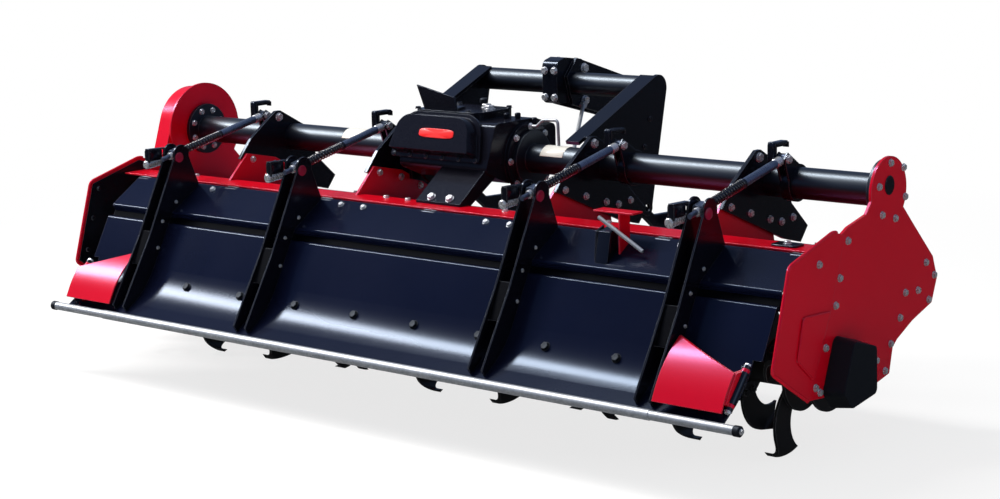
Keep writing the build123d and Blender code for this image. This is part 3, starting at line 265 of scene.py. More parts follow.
@dataclass
class Effects:
    """Surface effects that several finishes share, each a node group built once.

    A noise is given as its cycles per metre and its octaves, and a range as its low and high end.
    """

    edge_radius: float = 0.003
    edge_wears: float = 0.5
    edge_rays: int = 4
    chips: Pair = (90.0, 5.0)
    chip_range: Pair = (-0.95, 0.15)
    chip_gain: float = 6.0
    peel: Pair = (420.0, 2.0)
    peel_share: float = 0.03
    sheet: Pair = (3.2, 1.0)
    shade: Pair = (2.4, 4.0)
    dust_amount: float = 0.3
    dust_starts: float = -0.1
    dust_least: float = 0.15
    patches: Pair = (5.0, 6.0)
    patch_range: Pair = (-0.6, 1.4)
    grains: Pair = (160.0, 2.0)
    grain_range: Pair = (0.3, 1.0)
    drawn_scale: Point = (6.0, 260.0, 260.0)
    streaks: Pair = (1.0, 3.0)
    blotches: Pair = (30.0, 5.0)
    edges: bpy.types.NodeTree = field(init=False)
    skin: bpy.types.NodeTree = field(init=False)
    dust: bpy.types.NodeTree = field(init=False)
    drawn: bpy.types.NodeTree = field(init=False)

    def __post_init__(self) -> None:
        """Builds the groups."""
        self.edges = self.edge_wear()
        self.skin = self.paint_skin()
        self.dust = self.dust_film()
        self.drawn = self.drawn_steel()

    def edge_wear(self) -> bpy.types.NodeTree:
        """Rounds sharp edges in the shading and marks where paint has rubbed off them.

        The mask is one minus the dot product of the rounded and the true normal, broken up by noise.

        Returns:
            The group.
        """
        inputs = {"Radius": self.edge_radius, "Wear": self.edge_wears}
        outputs = {"Normal": "NodeSocketVector", "Worn": "NodeSocketFloat"}
        wiring, given, out = new_group("edge wear", inputs, outputs)
        bevel = wiring.add("Bevel", {"Radius": given["Radius"]}, samples=self.edge_rays)
        true = wiring.add("NewGeometry").outputs["Normal"]
        dot = wiring.add("VectorMath", {0: bevel.outputs[0], 1: true}, operation="DOT_PRODUCT")
        bent = wiring.math("SUBTRACT", 1.0, dot.outputs["Value"])
        chips = wiring.spread(wiring.noise(wiring.place(), *self.chips), *self.chip_range)
        broken = wiring.math("MULTIPLY_ADD", bent, self.chip_gain, chips)
        wiring.tree.links.new(bevel.outputs[0], out["Normal"])
        wiring.tree.links.new(wiring.math("MULTIPLY", broken, given["Wear"]), out["Worn"])
        return wiring.tree

    def paint_skin(self) -> bpy.types.NodeTree:
        """Gives the height of sprayed paint: fine orange peel on slow waves of the sheet.

        Returns:
            The group.
        """
        outputs = {"Height": "NodeSocketFloat", "Shade": "NodeSocketFloat"}
        wiring, given, out = new_group("paint skin", {"Peel": 1.0, "Sheet": 1.0}, outputs)
        place = wiring.place()
        peel = wiring.math("MULTIPLY", wiring.noise(place, *self.peel), given["Peel"])
        sheet = wiring.math("MULTIPLY", wiring.noise(place, *self.sheet), given["Sheet"])
        wiring.tree.links.new(wiring.math("MULTIPLY_ADD", peel, self.peel_share, sheet), out["Height"])
        wiring.tree.links.new(wiring.noise(place, *self.shade), out["Shade"])
        return wiring.tree

    def dust_film(self) -> bpy.types.NodeTree:
        """Marks where thin dust lies: on faces that look up, in soft patches with finer grains.

        Returns:
            The group.
        """
        inputs = {"Amount": self.dust_amount}
        wiring, given, out = new_group("dust film", inputs, {"Dust": "NodeSocketFloat"})
        place = wiring.place()
        normal = wiring.add("NewGeometry").outputs["Normal"]
        facing = wiring.add("SeparateXYZ", {0: normal}).outputs["Z"]
        limits = {"From Min": self.dust_starts, "From Max": 1.0, "To Min": self.dust_least}
        lying = wiring.add("MapRange", {"Value": facing, **limits}).outputs[0]
        patches = wiring.spread(wiring.noise(place, *self.patches), *self.patch_range)
        grains = wiring.spread(wiring.noise(place, *self.grains), *self.grain_range)
        film = wiring.math("MULTIPLY", wiring.math("MULTIPLY", patches, grains), lying)
        wiring.tree.links.new(wiring.math("MULTIPLY", film, given["Amount"]), out["Dust"])
        return wiring.tree

    def drawn_steel(self) -> bpy.types.NodeTree:
        """Streaks of drawn or turned steel: noise stretched along the machine's width.

        Returns:
            The group.
        """
        outputs = {"Streaks": "NodeSocketFloat", "Blotch": "NodeSocketFloat"}
        wiring, given, out = new_group("drawn steel", {"Streak": 1.0}, outputs)
        place = wiring.place()
        long = wiring.add("Mapping", {"Vector": place, "Scale": self.drawn_scale}).outputs[0]
        fine = wiring.math("MULTIPLY", wiring.noise(long, *self.streaks), given["Streak"])
        wiring.tree.links.new(fine, out["Streaks"])
        wiring.tree.links.new(wiring.noise(place, *self.blotches), out["Blotch"])
        return wiring.tree


@dataclass(frozen=True)
class Paint:
    """Sprayed enamel over steel, with a clear gloss, dust and rubbed edges.

    Attributes:
        name: the material's name.
        colour: the enamel, linear.
        deep: the same enamel where it looks darker.
        roughness: of the enamel.
        coat: weight of the clear gloss.
        shine: specular level of the enamel under it.
        tint: colour of its highlights; a blue or pink tint paints a sky reflection's colour into them.
        peel: height of the orange peel.
        dust: how much dust lies on it.
        wear: how far the edges are rubbed.
        bare: colour of what shows at rubbed edges.
        bare_metal: how far rubbed edges mirror.
        dust_colour: colour of the dust.
        dust_dulls: roughness that dust adds.
        coat_roughness: of the clear gloss.
        relief: strength and depth of the peel in the shading.
    """

    name: str
    colour: Colour
    deep: Colour
    roughness: float = 0.34
    coat: float = 0.6
    shine: float = 0.5
    tint: Colour = (1.0, 1.0, 1.0)
    peel: float = 1.0
    dust: float = 0.25
    wear: float = 0.35
    bare: Colour = (0.33, 0.33, 0.35)
    bare_metal: float = 0.6
    dust_colour: Colour = (0.20, 0.18, 0.15)
    dust_dulls: float = 0.5
    coat_roughness: float = 0.06
    relief: Pair = (0.12, 0.002)

    def material(self, effects: Effects) -> bpy.types.Material:
        """Builds the material.

        Args:
            effects: the shared groups.

        Returns:
            The material.
        """
        item, wiring = new_material(self.name)
        edge = wiring.add("Group", {"Wear": self.wear}, node_tree=effects.edges).outputs
        skin = wiring.add("Group", {"Peel": self.peel}, node_tree=effects.skin).outputs
        dust = wiring.add("Group", {"Amount": self.dust}, node_tree=effects.dust).outputs["Dust"]
        enamel = wiring.mix(skin["Shade"], (*self.deep, 1.0), (*self.colour, 1.0))
        dusty = wiring.mix(dust, enamel, (*self.dust_colour, 1.0))
        shader = wiring.add(
            "BsdfPrincipled",
            {
                "Base Color": wiring.mix(edge["Worn"], dusty, (*self.bare, 1.0)),
                "Roughness": wiring.math("MULTIPLY_ADD", dust, self.dust_dulls, self.roughness),
                "Coat Weight": wiring.spread(dust, self.coat, 0.0),
                "Coat Roughness": self.coat_roughness,
                "Specular IOR Level": self.shine,
                "Specular Tint": (*self.tint, 1.0),
                "Metallic": wiring.math("MULTIPLY", edge["Worn"], self.bare_metal),
                "Normal": wiring.bump(self.relief, skin["Height"], edge["Normal"]),
            },
        )
        wiring.add("OutputMaterial", {"Surface": shader.outputs[0]})
        return item


@dataclass(frozen=True)
class Steel:
    """Bare or plated steel with streaks, blotches and a little dirt.

    Attributes:
        name: the material's name.
        colour: the clean metal, linear.
        dull: the metal where it is stained.
        rough: roughness of the brightest and of the dullest places.
        spangle: share of crystal spangle, as on hot-dip zinc.
        metal: how far it mirrors; less where a dull film scatters the light.
        edge_radius: rounding of its edges in the shading, in metres.
        flakes: crystals per metre.
        stain_range: blotches below and above which it is clean or stained.
        stain_share: weight of the blotches.
        streak_share: weight of the streaks in its roughness.
        relief: strength and depth of the streaks in the shading.
    """

    name: str
    colour: Colour
    dull: Colour
    rough: Pair
    spangle: float
    metal: float
    edge_radius: float = 0.0012
    flakes: float = 160.0
    stain_range: Pair = (-0.5, 1.5)
    stain_share: float = 0.6
    streak_share: float = 0.6
    relief: Pair = (0.08, 0.001)

    def material(self, effects: Effects) -> bpy.types.Material:
        """Builds the material.

        Args:
            effects: the shared groups.

        Returns:
            The material.
        """
        item, wiring = new_material(self.name)
        edge = wiring.add("Group", {"Radius": self.edge_radius}, node_tree=effects.edges).outputs
        drawn = wiring.add("Group", node_tree=effects.drawn).outputs
        cells = wiring.add("TexVoronoi", {"Vector": wiring.place(), "Scale": self.flakes}).outputs["Color"]
        flake = wiring.math("MULTIPLY", wiring.add("SeparateColor", {0: cells}).outputs[0], self.spangle)
        blotch = wiring.spread(drawn["Blotch"], *self.stain_range)
        stain = wiring.math("MULTIPLY_ADD", blotch, self.stain_share, flake)
        worn = wiring.math("MULTIPLY_ADD", drawn["Streaks"], self.streak_share, flake)
        shader = wiring.add(
            "BsdfPrincipled",
            {
                "Base Color": wiring.mix(stain, (*self.colour, 1.0), (*self.dull, 1.0)),
                "Roughness": wiring.spread(worn, *self.rough),
                "Metallic": self.metal,
                "Normal": wiring.bump(self.relief, drawn["Streaks"], edge["Normal"]),
            },
        )
        wiring.add("OutputMaterial", {"Surface": shader.outputs[0]})
        return item


@dataclass(frozen=True)
class Grained:
    """Castings, plastic, lenses and the near-black matt strips of painted shade, with a grain that shows at
    close range.

    Attributes:
        name: the material's name.
        colour: the surface, linear.
        light: the colour on the grain's tops.
        roughness: of the surface.
        grain: cycles of the grain per metre.
        octaves: of the grain.
        depth: height of the grain in metres.
        coat: weight of a clear gloss.
        shine: specular level under it.
        tint: colour of its highlights; the blue tint paints a sky reflection's colour into them.
        dust: how much dust lies on it.
        dust_colour: colour of the dust.
        edge_radius: rounding of its edges in the shading, in metres.
        tone_range: grain at which the two colours start and end.
        rough_range: how the grain swings the roughness.
        rough_share: weight of that swing.
        coat_roughness: of the clear gloss.
        strength: of the grain in the shading.
    """

    name: str
    colour: Colour
    light: Colour
    roughness: float = 0.5
    grain: float = 260.0
    octaves: float = 4.0
    depth: float = 0.0015
    coat: float = 0.0
    shine: float = 0.3
    tint: Colour = (0.6, 0.75, 1.0)
    dust: float = 0.1
    dust_colour: Colour = (0.19, 0.17, 0.15)
    edge_radius: float = 0.005
    tone_range: Pair = (-0.4, 1.0)
    rough_range: Pair = (-0.5, 0.5)
    rough_share: float = 0.25
    coat_roughness: float = 0.12
    strength: float = 0.35

    def material(self, effects: Effects) -> bpy.types.Material:
        """Builds the material.

        Args:
            effects: the shared groups.

        Returns:
            The material.
        """
        item, wiring = new_material(self.name)
        edge = wiring.add("Group", {"Radius": self.edge_radius}, node_tree=effects.edges).outputs
        dust = wiring.add("Group", {"Amount": self.dust}, node_tree=effects.dust).outputs["Dust"]
        pits = wiring.noise(wiring.place(), self.grain, self.octaves)
        tone = wiring.mix(wiring.spread(pits, *self.tone_range), (*self.colour, 1.0), (*self.light, 1.0))
        swing = wiring.spread(pits, *self.rough_range)
        shader = wiring.add(
            "BsdfPrincipled",
            {
                "Base Color": wiring.mix(dust, tone, (*self.dust_colour, 1.0)),
                "Roughness": wiring.math("MULTIPLY_ADD", swing, self.rough_share, self.roughness),
                "Coat Weight": wiring.spread(dust, self.coat, 0.0),
                "Coat Roughness": self.coat_roughness,
                "Specular IOR Level": self.shine,
                "Specular Tint": (*self.tint, 1.0),
                "Normal": wiring.bump((self.strength, self.depth), pits, edge["Normal"]),
            },
        )
        wiring.add("OutputMaterial", {"Surface": shader.outputs[0]})
        return item


# The blue and pink highlight tints below paint the colour of a sky reflection into the lamps' highlights.
RECIPES: dict[Slot, Paint | Steel | Grained] = {
    Slot.RED: Paint(
        "red enamel",
        colour=(0.62, 0.001, 0.012),
        deep=(0.50, 0.001, 0.008),
        roughness=0.24,
        coat=0.03,
        tint=(1.0, 0.30, 0.95),
        dust=0.02,
    ),
    Slot.BLACK: Paint(
        "black enamel",
        colour=(0.004, 0.004, 0.008),
        deep=(0.002, 0.002, 0.004),
        roughness=0.20,
        coat=0.06,
        shine=0.45,
        tint=(0.55, 0.72, 1.0),
        dust=0.02,
    ),
    Slot.NAVY: Paint(
        "blue-black enamel",
        colour=(0.004, 0.006, 0.022),
        deep=(0.002, 0.003, 0.012),
        roughness=0.16,
        coat=0.0,
        shine=0.22,
        tint=(0.45, 0.66, 1.0),
        dust=0.02,
    ),
    Slot.PIPE: Paint(
        "satin black enamel",
        colour=(0.004, 0.004, 0.008),
        deep=(0.002, 0.002, 0.004),
        coat=0.0,
        shine=0.9,
        tint=(0.70, 0.84, 1.0),
        dust=0.02,
    ),
    Slot.ZINC: Steel(
        "galvanised tube",
        colour=(0.55, 0.57, 0.60),
        dull=(0.34, 0.36, 0.39),
        rough=(0.30, 0.55),
        spangle=0.5,
        metal=0.7,
    ),
    Slot.SPRING: Paint(
        "black spring",
        colour=(0.012, 0.012, 0.016),
        deep=(0.006, 0.006, 0.008),
        roughness=0.16,
        shine=0.7,
        wear=0.08,
    ),
    Slot.ROD: Steel(
        "plated sleeve",
        colour=(0.15, 0.19, 0.28),
        dull=(0.08, 0.10, 0.16),
        rough=(0.22, 0.40),
        spangle=0.1,
        metal=0.75,
    ),
    Slot.CASTING: Grained(
        "painted casting",
        colour=(0.005, 0.005, 0.009),
        light=(0.010, 0.010, 0.016),
        roughness=0.18,
        depth=0.0003,
        coat=0.05,
        shine=0.22,
        dust=0.01,
    ),
    Slot.TINE: Paint(
        "black tine paint",
        colour=(0.008, 0.008, 0.009),
        deep=(0.004, 0.004, 0.005),
        roughness=0.40,
        coat=0.0,
        shine=0.3,
        wear=0.6,
    ),
    Slot.BRIGHT: Steel(
        "zinc-plated fastener",
        colour=(0.78, 0.79, 0.82),
        dull=(0.48, 0.49, 0.52),
        rough=(0.20, 0.38),
        spangle=0.2,
        metal=0.7,
    ),
    Slot.GUARD: Grained(
        "black guard",
        colour=(0.005, 0.005, 0.006),
        light=(0.011, 0.011, 0.012),
        grain=420.0,
        depth=0.0008,
        dust=0.03,
    ),
    Slot.PAD: Paint(
        "pale pad",
        colour=(0.78, 0.76, 0.70),
        deep=(0.70, 0.68, 0.62),
        roughness=0.45,
        coat=0.2,
        dust=0.06,
        wear=0.1,
    ),
    Slot.PLATE: Paint(
        "bright red plate",
        colour=(0.95, 0.003, 0.003),
        deep=(0.88, 0.002, 0.002),
        roughness=0.4,
        coat=0.1,
        dust=0.02,
    ),
    # Near-black with almost no shine: painted shade for the strips in the board's recess and on the arms'
    # webs.
    Slot.PAINTED_SHADE: Grained(
        "painted shade black",
        colour=(0.001, 0.001, 0.002),
        light=(0.002, 0.002, 0.003),
        roughness=0.7,
        shine=0.05,
        dust=0.0,
    ),
    Slot.LENS: Grained(
        "red lens",
        colour=(0.22, 0.006, 0.03),
        light=(0.32, 0.012, 0.05),
        roughness=0.18,
        grain=700.0,
        depth=0.0006,
        coat=0.6,
        tint=(1.0, 1.0, 1.0),
    ),
}


@dataclass
class Finishes:
    """Every finish of the machine, made once."""

    pipes: tuple[str, ...] = ("main_pipe_left", "main_pipe_right", "mast_tube")
    made: dict[Slot, bpy.types.Material] = field(default_factory=dict)

    def build(self) -> None:
        """Makes a material for each slot."""
        effects = Effects()
        for slot, recipe in RECIPES.items():
            self.made[slot] = recipe.material(effects)
            LOG.info("finish %s", recipe.name)

    def coat_nodes(self) -> None:
        """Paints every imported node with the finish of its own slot, and the large pipes satin."""
        slots = {part["node"]: part["material_slot"] for part in FRAME["record"]["subparts"]}
        for name, item in FRAME["nodes"].items():
            slot = Slot.PIPE if name in self.pipes else Slot(slots[name])
            item.data.materials.clear()
            item.data.materials.append(self.made[slot])


@dataclass(frozen=True)
class Lamp:
    """One oblong lamp.

    Attributes:
        name: the lamp's name.
        place: where it hangs, in metres.
        size: width and height.
        power: in watts.
        colour: linear colour.
    """

    name: str
    place: Point
    size: Pair
    power: float
    colour: Colour

    def hang(self, target: Point) -> None:
        """Hangs the lamp so that it faces a point.

        Args:
            target: the point.
        """
        data = bpy.data.lights.new(self.name, "AREA")
        data.shape = "RECTANGLE"
        data.size, data.size_y = self.size
        data.energy = self.power
        data.color = self.colour
        item = bpy.data.objects.new(self.name, data)
        bpy.context.scene.collection.objects.link(item)
        item.location = self.place
        item.rotation_euler = (Vector(target) - Vector(self.place)).to_track_quat("-Z", "Y").to_euler()


@dataclass
class Stage:
    """Floor, lamps, sky and camera."""

    floor_height: float = -0.883
    floor_reach: float = 30.0
    floor_tones: tuple[Colour, Colour] = ((0.90, 0.90, 0.90), (0.94, 0.94, 0.94))
    floor_noise: Pair = (3.0, 4.0)
    glow_from: float = 1.6
    glow_full: float = 4.2
    glow_least: float = 0.78
    mirrored_floor: tuple[Colour, float] = ((0.9, 0.93, 1.0), 0.06)
    light_sky: tuple[Colour, float] = ((0.80, 0.88, 1.0), 0.27)
    mirrored_sky: tuple[Colour, float] = ((0.40, 0.58, 1.0), 0.30)
    white: tuple[Colour, float] = ((1.0, 1.0, 1.0), 1.0)
    key: Lamp = Lamp("key_lamp", (-4.4, -2.25, 5.8), (1.0, 8.0), 1100.0, (1.0, 0.98, 0.95))
    fill: Lamp = Lamp("fill_lamp", (6.0, -1.5, 2.6), (3.0, 3.0), 28.0, (0.92, 0.96, 1.0))
    lit_point: Point = (0.0, -0.55, -0.4)
    eye: Point = (4.285, -5.719, 0.811)
    heading: float = 39.95
    tilt: float = 10.55
    roll: float = -1.33
    lens: float = 74.04
    sensor: float = 36.0
    far: float = 200.0

    def build(self) -> None:
        """Makes the whole stage: a long key lamp high on the left, and a weak fill on the right."""
        self.floor()
        self.sky()
        self.key.hang(self.lit_point)
        self.fill.hang(self.lit_point)
        self.camera()

    def floor(self) -> None:
        """Lays a flat pale floor that shows white to the camera, dim to mirrors, and keeps a soft shadow."""
        span = np.linspace(-self.floor_reach, self.floor_reach, 2)
        x, y = np.meshgrid(span, span)
        item = grid_piece("studio_floor", np.stack([x, y, np.full_like(x, self.floor_height)], axis=-1))
        material, wiring = new_material("pale floor")
        path = wiring.add("LightPath")
        place = wiring.place()
        pale, paler = ((*tone, 1.0) for tone in self.floor_tones)
        tone = wiring.mix(wiring.noise(place, *self.floor_noise), pale, paler)
        matt = wiring.add("BsdfDiffuse", {"Color": tone})
        away = wiring.add("VectorMath", {0: place}, operation="LENGTH").outputs["Value"]
        limits = {"From Min": self.glow_from, "From Max": self.glow_full, "To Min": self.glow_least}
        fade = wiring.add("MapRange", {"Value": away, **limits}).outputs[0]
        share = wiring.math("MULTIPLY", seen_directly(wiring, path), fade)
        both = wiring.blend(share, matt, glow(wiring, "Emission", self.white))
        dim = glow(wiring, "Emission", self.mirrored_floor)
        final = wiring.blend(path.outputs["Is Glossy Ray"], both, dim)
        wiring.add("OutputMaterial", {"Surface": final.outputs[0]})
        item.data.materials.append(material)

    def sky(self) -> None:
        """Sets a world that is white to the camera, soft as a light and dim blue in mirrors."""
        world = bpy.data.worlds.new("studio")
        bpy.context.scene.world = world
        world.use_nodes = True
        wiring = Wiring(world.node_tree)
        path = wiring.add("LightPath")
        white = glow(wiring, "Background", self.white)
        soft = glow(wiring, "Background", self.light_sky)
        blue = glow(wiring, "Background", self.mirrored_sky)
        both = wiring.blend(seen_directly(wiring, path), soft, white)
        final = wiring.blend(path.outputs["Is Glossy Ray"], both, blue)
        wiring.add("OutputWorld", {"Surface": final.outputs[0]})

    def camera(self) -> None:
        """Places the camera at the photograph's angle, with its slight roll."""
        turn = math.radians(self.heading)
        rise = math.radians(self.tilt)
        lean = math.radians(self.roll)
        back = Vector((math.sin(turn) * math.cos(rise), -math.cos(turn) * math.cos(rise), math.sin(rise)))
        right = (-back).cross(Vector((0.0, 0.0, 1.0))).normalized()
        up = right.cross(-back)
        across = right * math.cos(lean) + up * math.sin(lean)
        upward = up * math.cos(lean) - right * math.sin(lean)
        data = bpy.data.cameras.new("camera")
        data.lens = self.lens
        data.sensor_width = self.sensor
        data.sensor_fit = "HORIZONTAL"
        data.clip_end = self.far
        item = bpy.data.objects.new("camera", data)
        bpy.context.scene.collection.objects.link(item)
        facing = Matrix((across, upward, back)).transposed().to_4x4()
        item.matrix_world = Matrix.Translation(self.eye) @ facing
        bpy.context.scene.camera = item
        bpy.context.scene.view_settings.view_transform = "Standard"


def glow(wiring: Wiring, kind: str, light: tuple[Colour, float]) -> bpy.types.Node:
    """Adds a shader that gives off light.

    Args:
        wiring: the tree's wiring.
        kind: Emission or Background.
        light: its colour and strength.

    Returns:
        The node.
    """
    colour, strength = light
    return wiring.add(kind, {"Color": (*colour, 1.0), "Strength": strength})


def seen_directly(wiring: Wiring, path: bpy.types.Node) -> Socket:
    """Gives 1 for rays from the camera and for its mirror and glass bounces.

    Floor and sky then give mirror bounces a dimmer colour of their own, so only glass bounces meet white.

    Args:
        wiring: the tree's wiring.
        path: its Light Path node.

    Returns:
        The mask.
    """
    glossy = wiring.math("MAXIMUM", path.outputs["Is Glossy Ray"], path.outputs["Is Transmission Ray"])
    return wiring.math("MAXIMUM", path.outputs["Is Camera Ray"], glossy)


def grid_piece(name: str, points: np.ndarray) -> bpy.types.Object:
    """Makes a mesh object from a grid of points, four corners to a face.

    Args:
        name: the object's name.
        points: array of shape (rows, columns, 3), in metres.

    Returns:
        The object, linked to the scene.
    """
    rows, columns = points.shape[:2]
    index = np.arange(rows * columns).reshape(rows, columns)
    corners = [index[:-1, :-1], index[:-1, 1:], index[1:, 1:], index[1:, :-1]]
    mesh = bpy.data.meshes.new(name)
    mesh.from_pydata(points.reshape(-1, 3).tolist(), [], np.stack(corners, axis=-1).reshape(-1, 4).tolist())
    mesh.update()
    item = bpy.data.objects.new(name, mesh)
    bpy.context.scene.collection.objects.link(item)
    return item


def spot(x: object, forward: object, up: object) -> np.ndarray:
    """Turns millimetres from the main pipe's axis into metres of the frame.

    Args:
        x: to the machine's right, number or array.
        forward: ahead of the pipe's axis.
        up: above the pipe's axis.

    Returns:
        Array of points, one per row.
    """
    parts = np.broadcast_arrays(*(np.atleast_1d(np.asarray(part, dtype=float)) for part in (x, forward, up)))
    return (np.stack(parts, axis=-1) + PIPE_AXIS) * MM


def spots(x: object, table: Table | np.ndarray) -> np.ndarray:
    """Points at one place across the machine, from rows of forward and up.

    Args:
        x: to the machine's right.
        table: rows of forward and up, in millimetres.

    Returns:
        Array of points, one per row.
    """
    return spot(x, *np.array(table, dtype=float).T)


def circle(x: float, radius: float, count: int, start: float = 0.0) -> np.ndarray:
    """Points spaced evenly on a circle about the main pipe's axis.

    Args:
        x: to the machine's right.
        radius: of the circle, in millimetres.
        count: how many points.
        start: angle of the first, in radians.

    Returns:
        Array of points, one per row.
    """
    turn = np.arange(count) * 2 * np.pi / count + start
    return spot(x, radius * np.cos(turn), radius * np.sin(turn))


def unit(vectors: np.ndarray) -> np.ndarray:
    """Scales vectors to length 1."""
    return vectors / np.linalg.norm(vectors, axis=-1, keepdims=True)


def crossways(axes: np.ndarray, hint: np.ndarray) -> tuple[np.ndarray, np.ndarray]:
    """Gives two directions square to each axis, so that the three are right-handed.

    Args:
        axes: unit vectors.
        hint: a direction that isn't parallel to any of them.

    Returns:
        The two arrays of unit vectors.
    """
    first = unit(np.cross(axes, hint))
    return first, np.cross(axes, first)


def turned(
    places: np.ndarray, axes: np.ndarray, profile: np.ndarray, six: np.ndarray, sides: int
) -> np.ndarray:
    """Turned shapes at many places, each ring a circle or a hexagon.

    The point at angle a on a ring is place + axis * height + radius * (cos a, sin a) across the axis.
    A hexagon's radius is its flat's distance over the cosine of a folded to 30 degrees either way.

    Args:
        places: foot of each shape.
        axes: direction of each shape, of length 1.
        profile: rows of radius and height.
        six: which rows are hexagons.
        sides: points round a ring.

    Returns:
        Array of shape (places, rows, sides, 3).
    """
    angle = np.arange(sides) * 2 * np.pi / sides
    folded = 1 / np.cos((angle + np.pi / 6) % (np.pi / 3) - np.pi / 6)
    radius = profile[:, :1] * np.where(six[:, None], folded, 1.0)
    hint = np.where(np.abs(axes[:, :1]) > SIDEWAYS, UP, RIGHT)
    first, second = crossways(axes, hint)
    ring = first[:, None] * np.cos(angle)[:, None] + second[:, None] * np.sin(angle)[:, None]
    rise = axes[:, None, :] * profile[None, :, 1:]
    return places[:, None, None] + rise[:, :, None] + ring[:, None] * radius[None, :, :, None]


def wire(path: np.ndarray, radius: float, hint: np.ndarray, sides: int) -> np.ndarray:
    """Round wire along a path: a circle across the path's direction at each point, closed at both ends.

    Args:
        path: points along the middle.
        radius: of the wire.
        hint: a direction that the path never follows.
        sides: points round the wire.

    Returns:
        Array of shape (1, points + 2, sides, 3).
    """
    ahead = unit(np.gradient(path, axis=0))
    first, second = crossways(ahead, hint)
    angle = np.arange(sides) * 2 * np.pi / sides
    ring = first[:, None] * np.cos(angle)[:, None] + second[:, None] * np.sin(angle)[:, None]
    rows = path[:, None] + ring * radius
    ends = [np.broadcast_to(path[k], (1, sides, 3)) for k in (0, -1)]
    return np.concatenate([ends[0], rows, ends[1]])[None]


def eased(corners: np.ndarray, radius: float, steps: int) -> np.ndarray:
    """Path through corners, each rounded by a quadratic curve that starts and ends a radius away from it.

    Args:
        corners: points of the path.
        radius: where each curve starts and ends, from its corner.
        steps: points on each curve.

    Returns:
        The points of the path.
    """
    inner = corners[1:-1]
    before = inner + unit(corners[:-2] - inner) * radius
    after = inner + unit(corners[2:] - inner) * radius
    share = np.linspace(0.0, 1.0, steps)[None, :, None]
    pull = 2 * inner[:, None] * share * (1 - share)
    bends = before[:, None] * (1 - share) ** 2 + pull + after[:, None] * share**2
    return np.concatenate([corners[:1], bends.reshape(-1, 3), corners[-1:]])


def plaque(
    middle: np.ndarray, right: np.ndarray, up: np.ndarray, half: Pair, power: float, rows: np.ndarray
) -> np.ndarray:
    """Flat plate with a rounded outline, carried through rows of inset and height and closed to its middle.

    The outline is the superellipse with |x / width| ** power + |y / height| ** power = 1.

    Args:
        middle: centre of its back.
        right: direction of its width.
        up: direction of its height.
        half: half width and half height.
        power: 2 is an ellipse, more is squarer.
        rows: inset from the outline and height, row by row.

    Returns:
        Array of shape (1, rows, points, 3).
    """
    angle = np.arange(PLAQUE_POINTS) * 2 * np.pi / PLAQUE_POINTS
    x = half[0] * np.sign(np.cos(angle)) * np.abs(np.cos(angle)) ** (2 / power)
    y = half[1] * np.sign(np.sin(angle)) * np.abs(np.sin(angle)) ** (2 / power)
    keep = 1 - rows[:, :1] / min(half)
    flat = right * x[:, None] + up * y[:, None]
    return (middle + flat[None] * keep[:, :, None] + np.cross(right, up) * rows[:, 1:, None])[None]


def plate_rows(half: Pair, thick: float, dome: float = 0.0) -> np.ndarray:
    """Rows of inset and height of a thin plate whose front edge is broken.

    Args:
        half: half width and half height.
        thick: its thickness at the edge.
        dome: how much higher its middle is.

    Returns:
        The rows, from the middle of its back to the middle of its front.
    """
    reach = min(half)
    front = [(0.0, thick - PLATE_EDGE), (PLATE_EDGE, thick), (reach, thick + dome)]
    return np.array([(reach, 0.0), (0.0, 0.0), *front])


def prism(outline: np.ndarray, start: float, end: float, edge: float) -> np.ndarray:
    """Bar with one outline in the side view, its end edges broken and both ends closed to the middle.

    Args:
        outline: corners as forward and up, in millimetres, running forward to up.
        start: its left end.
        end: its right end.
        edge: how far the edges are broken.

    Returns:
        Array of shape (1, 6, corners, 3).
    """
    middle = outline.mean(axis=0)
    spokes = outline - middle
    reach = np.linalg.norm(spokes, axis=-1, keepdims=True)
    shares = np.array([0.0, 1.0, 0.0, 0.0, 1.0, 0.0])
    x = np.array([start, start, start + edge, end - edge, end, end])
    loops = [middle + spokes * (1 - edge / reach * share) for share in shares]
    loops[0] = loops[-1] = np.broadcast_to(middle, outline.shape)
    rows = [spot(at, loop[:, 0], loop[:, 1]) for at, loop in zip(x, loops)]
    return np.stack(rows)[None]


def barrel(radius: float, length: float, edge: float) -> Table:
    """Profile of a round bar with broken edges, closed at both ends.

    Args:
        radius: of the bar, in millimetres.
        length: of the bar.
        edge: how far its edges are broken.

    Returns:
        Rows of radius and height.
    """
    near = ((0.0, 0.0), (radius - edge, 0.0), (radius, edge))
    return (*near, (radius, length - edge), (radius - edge, length), (0.0, length))


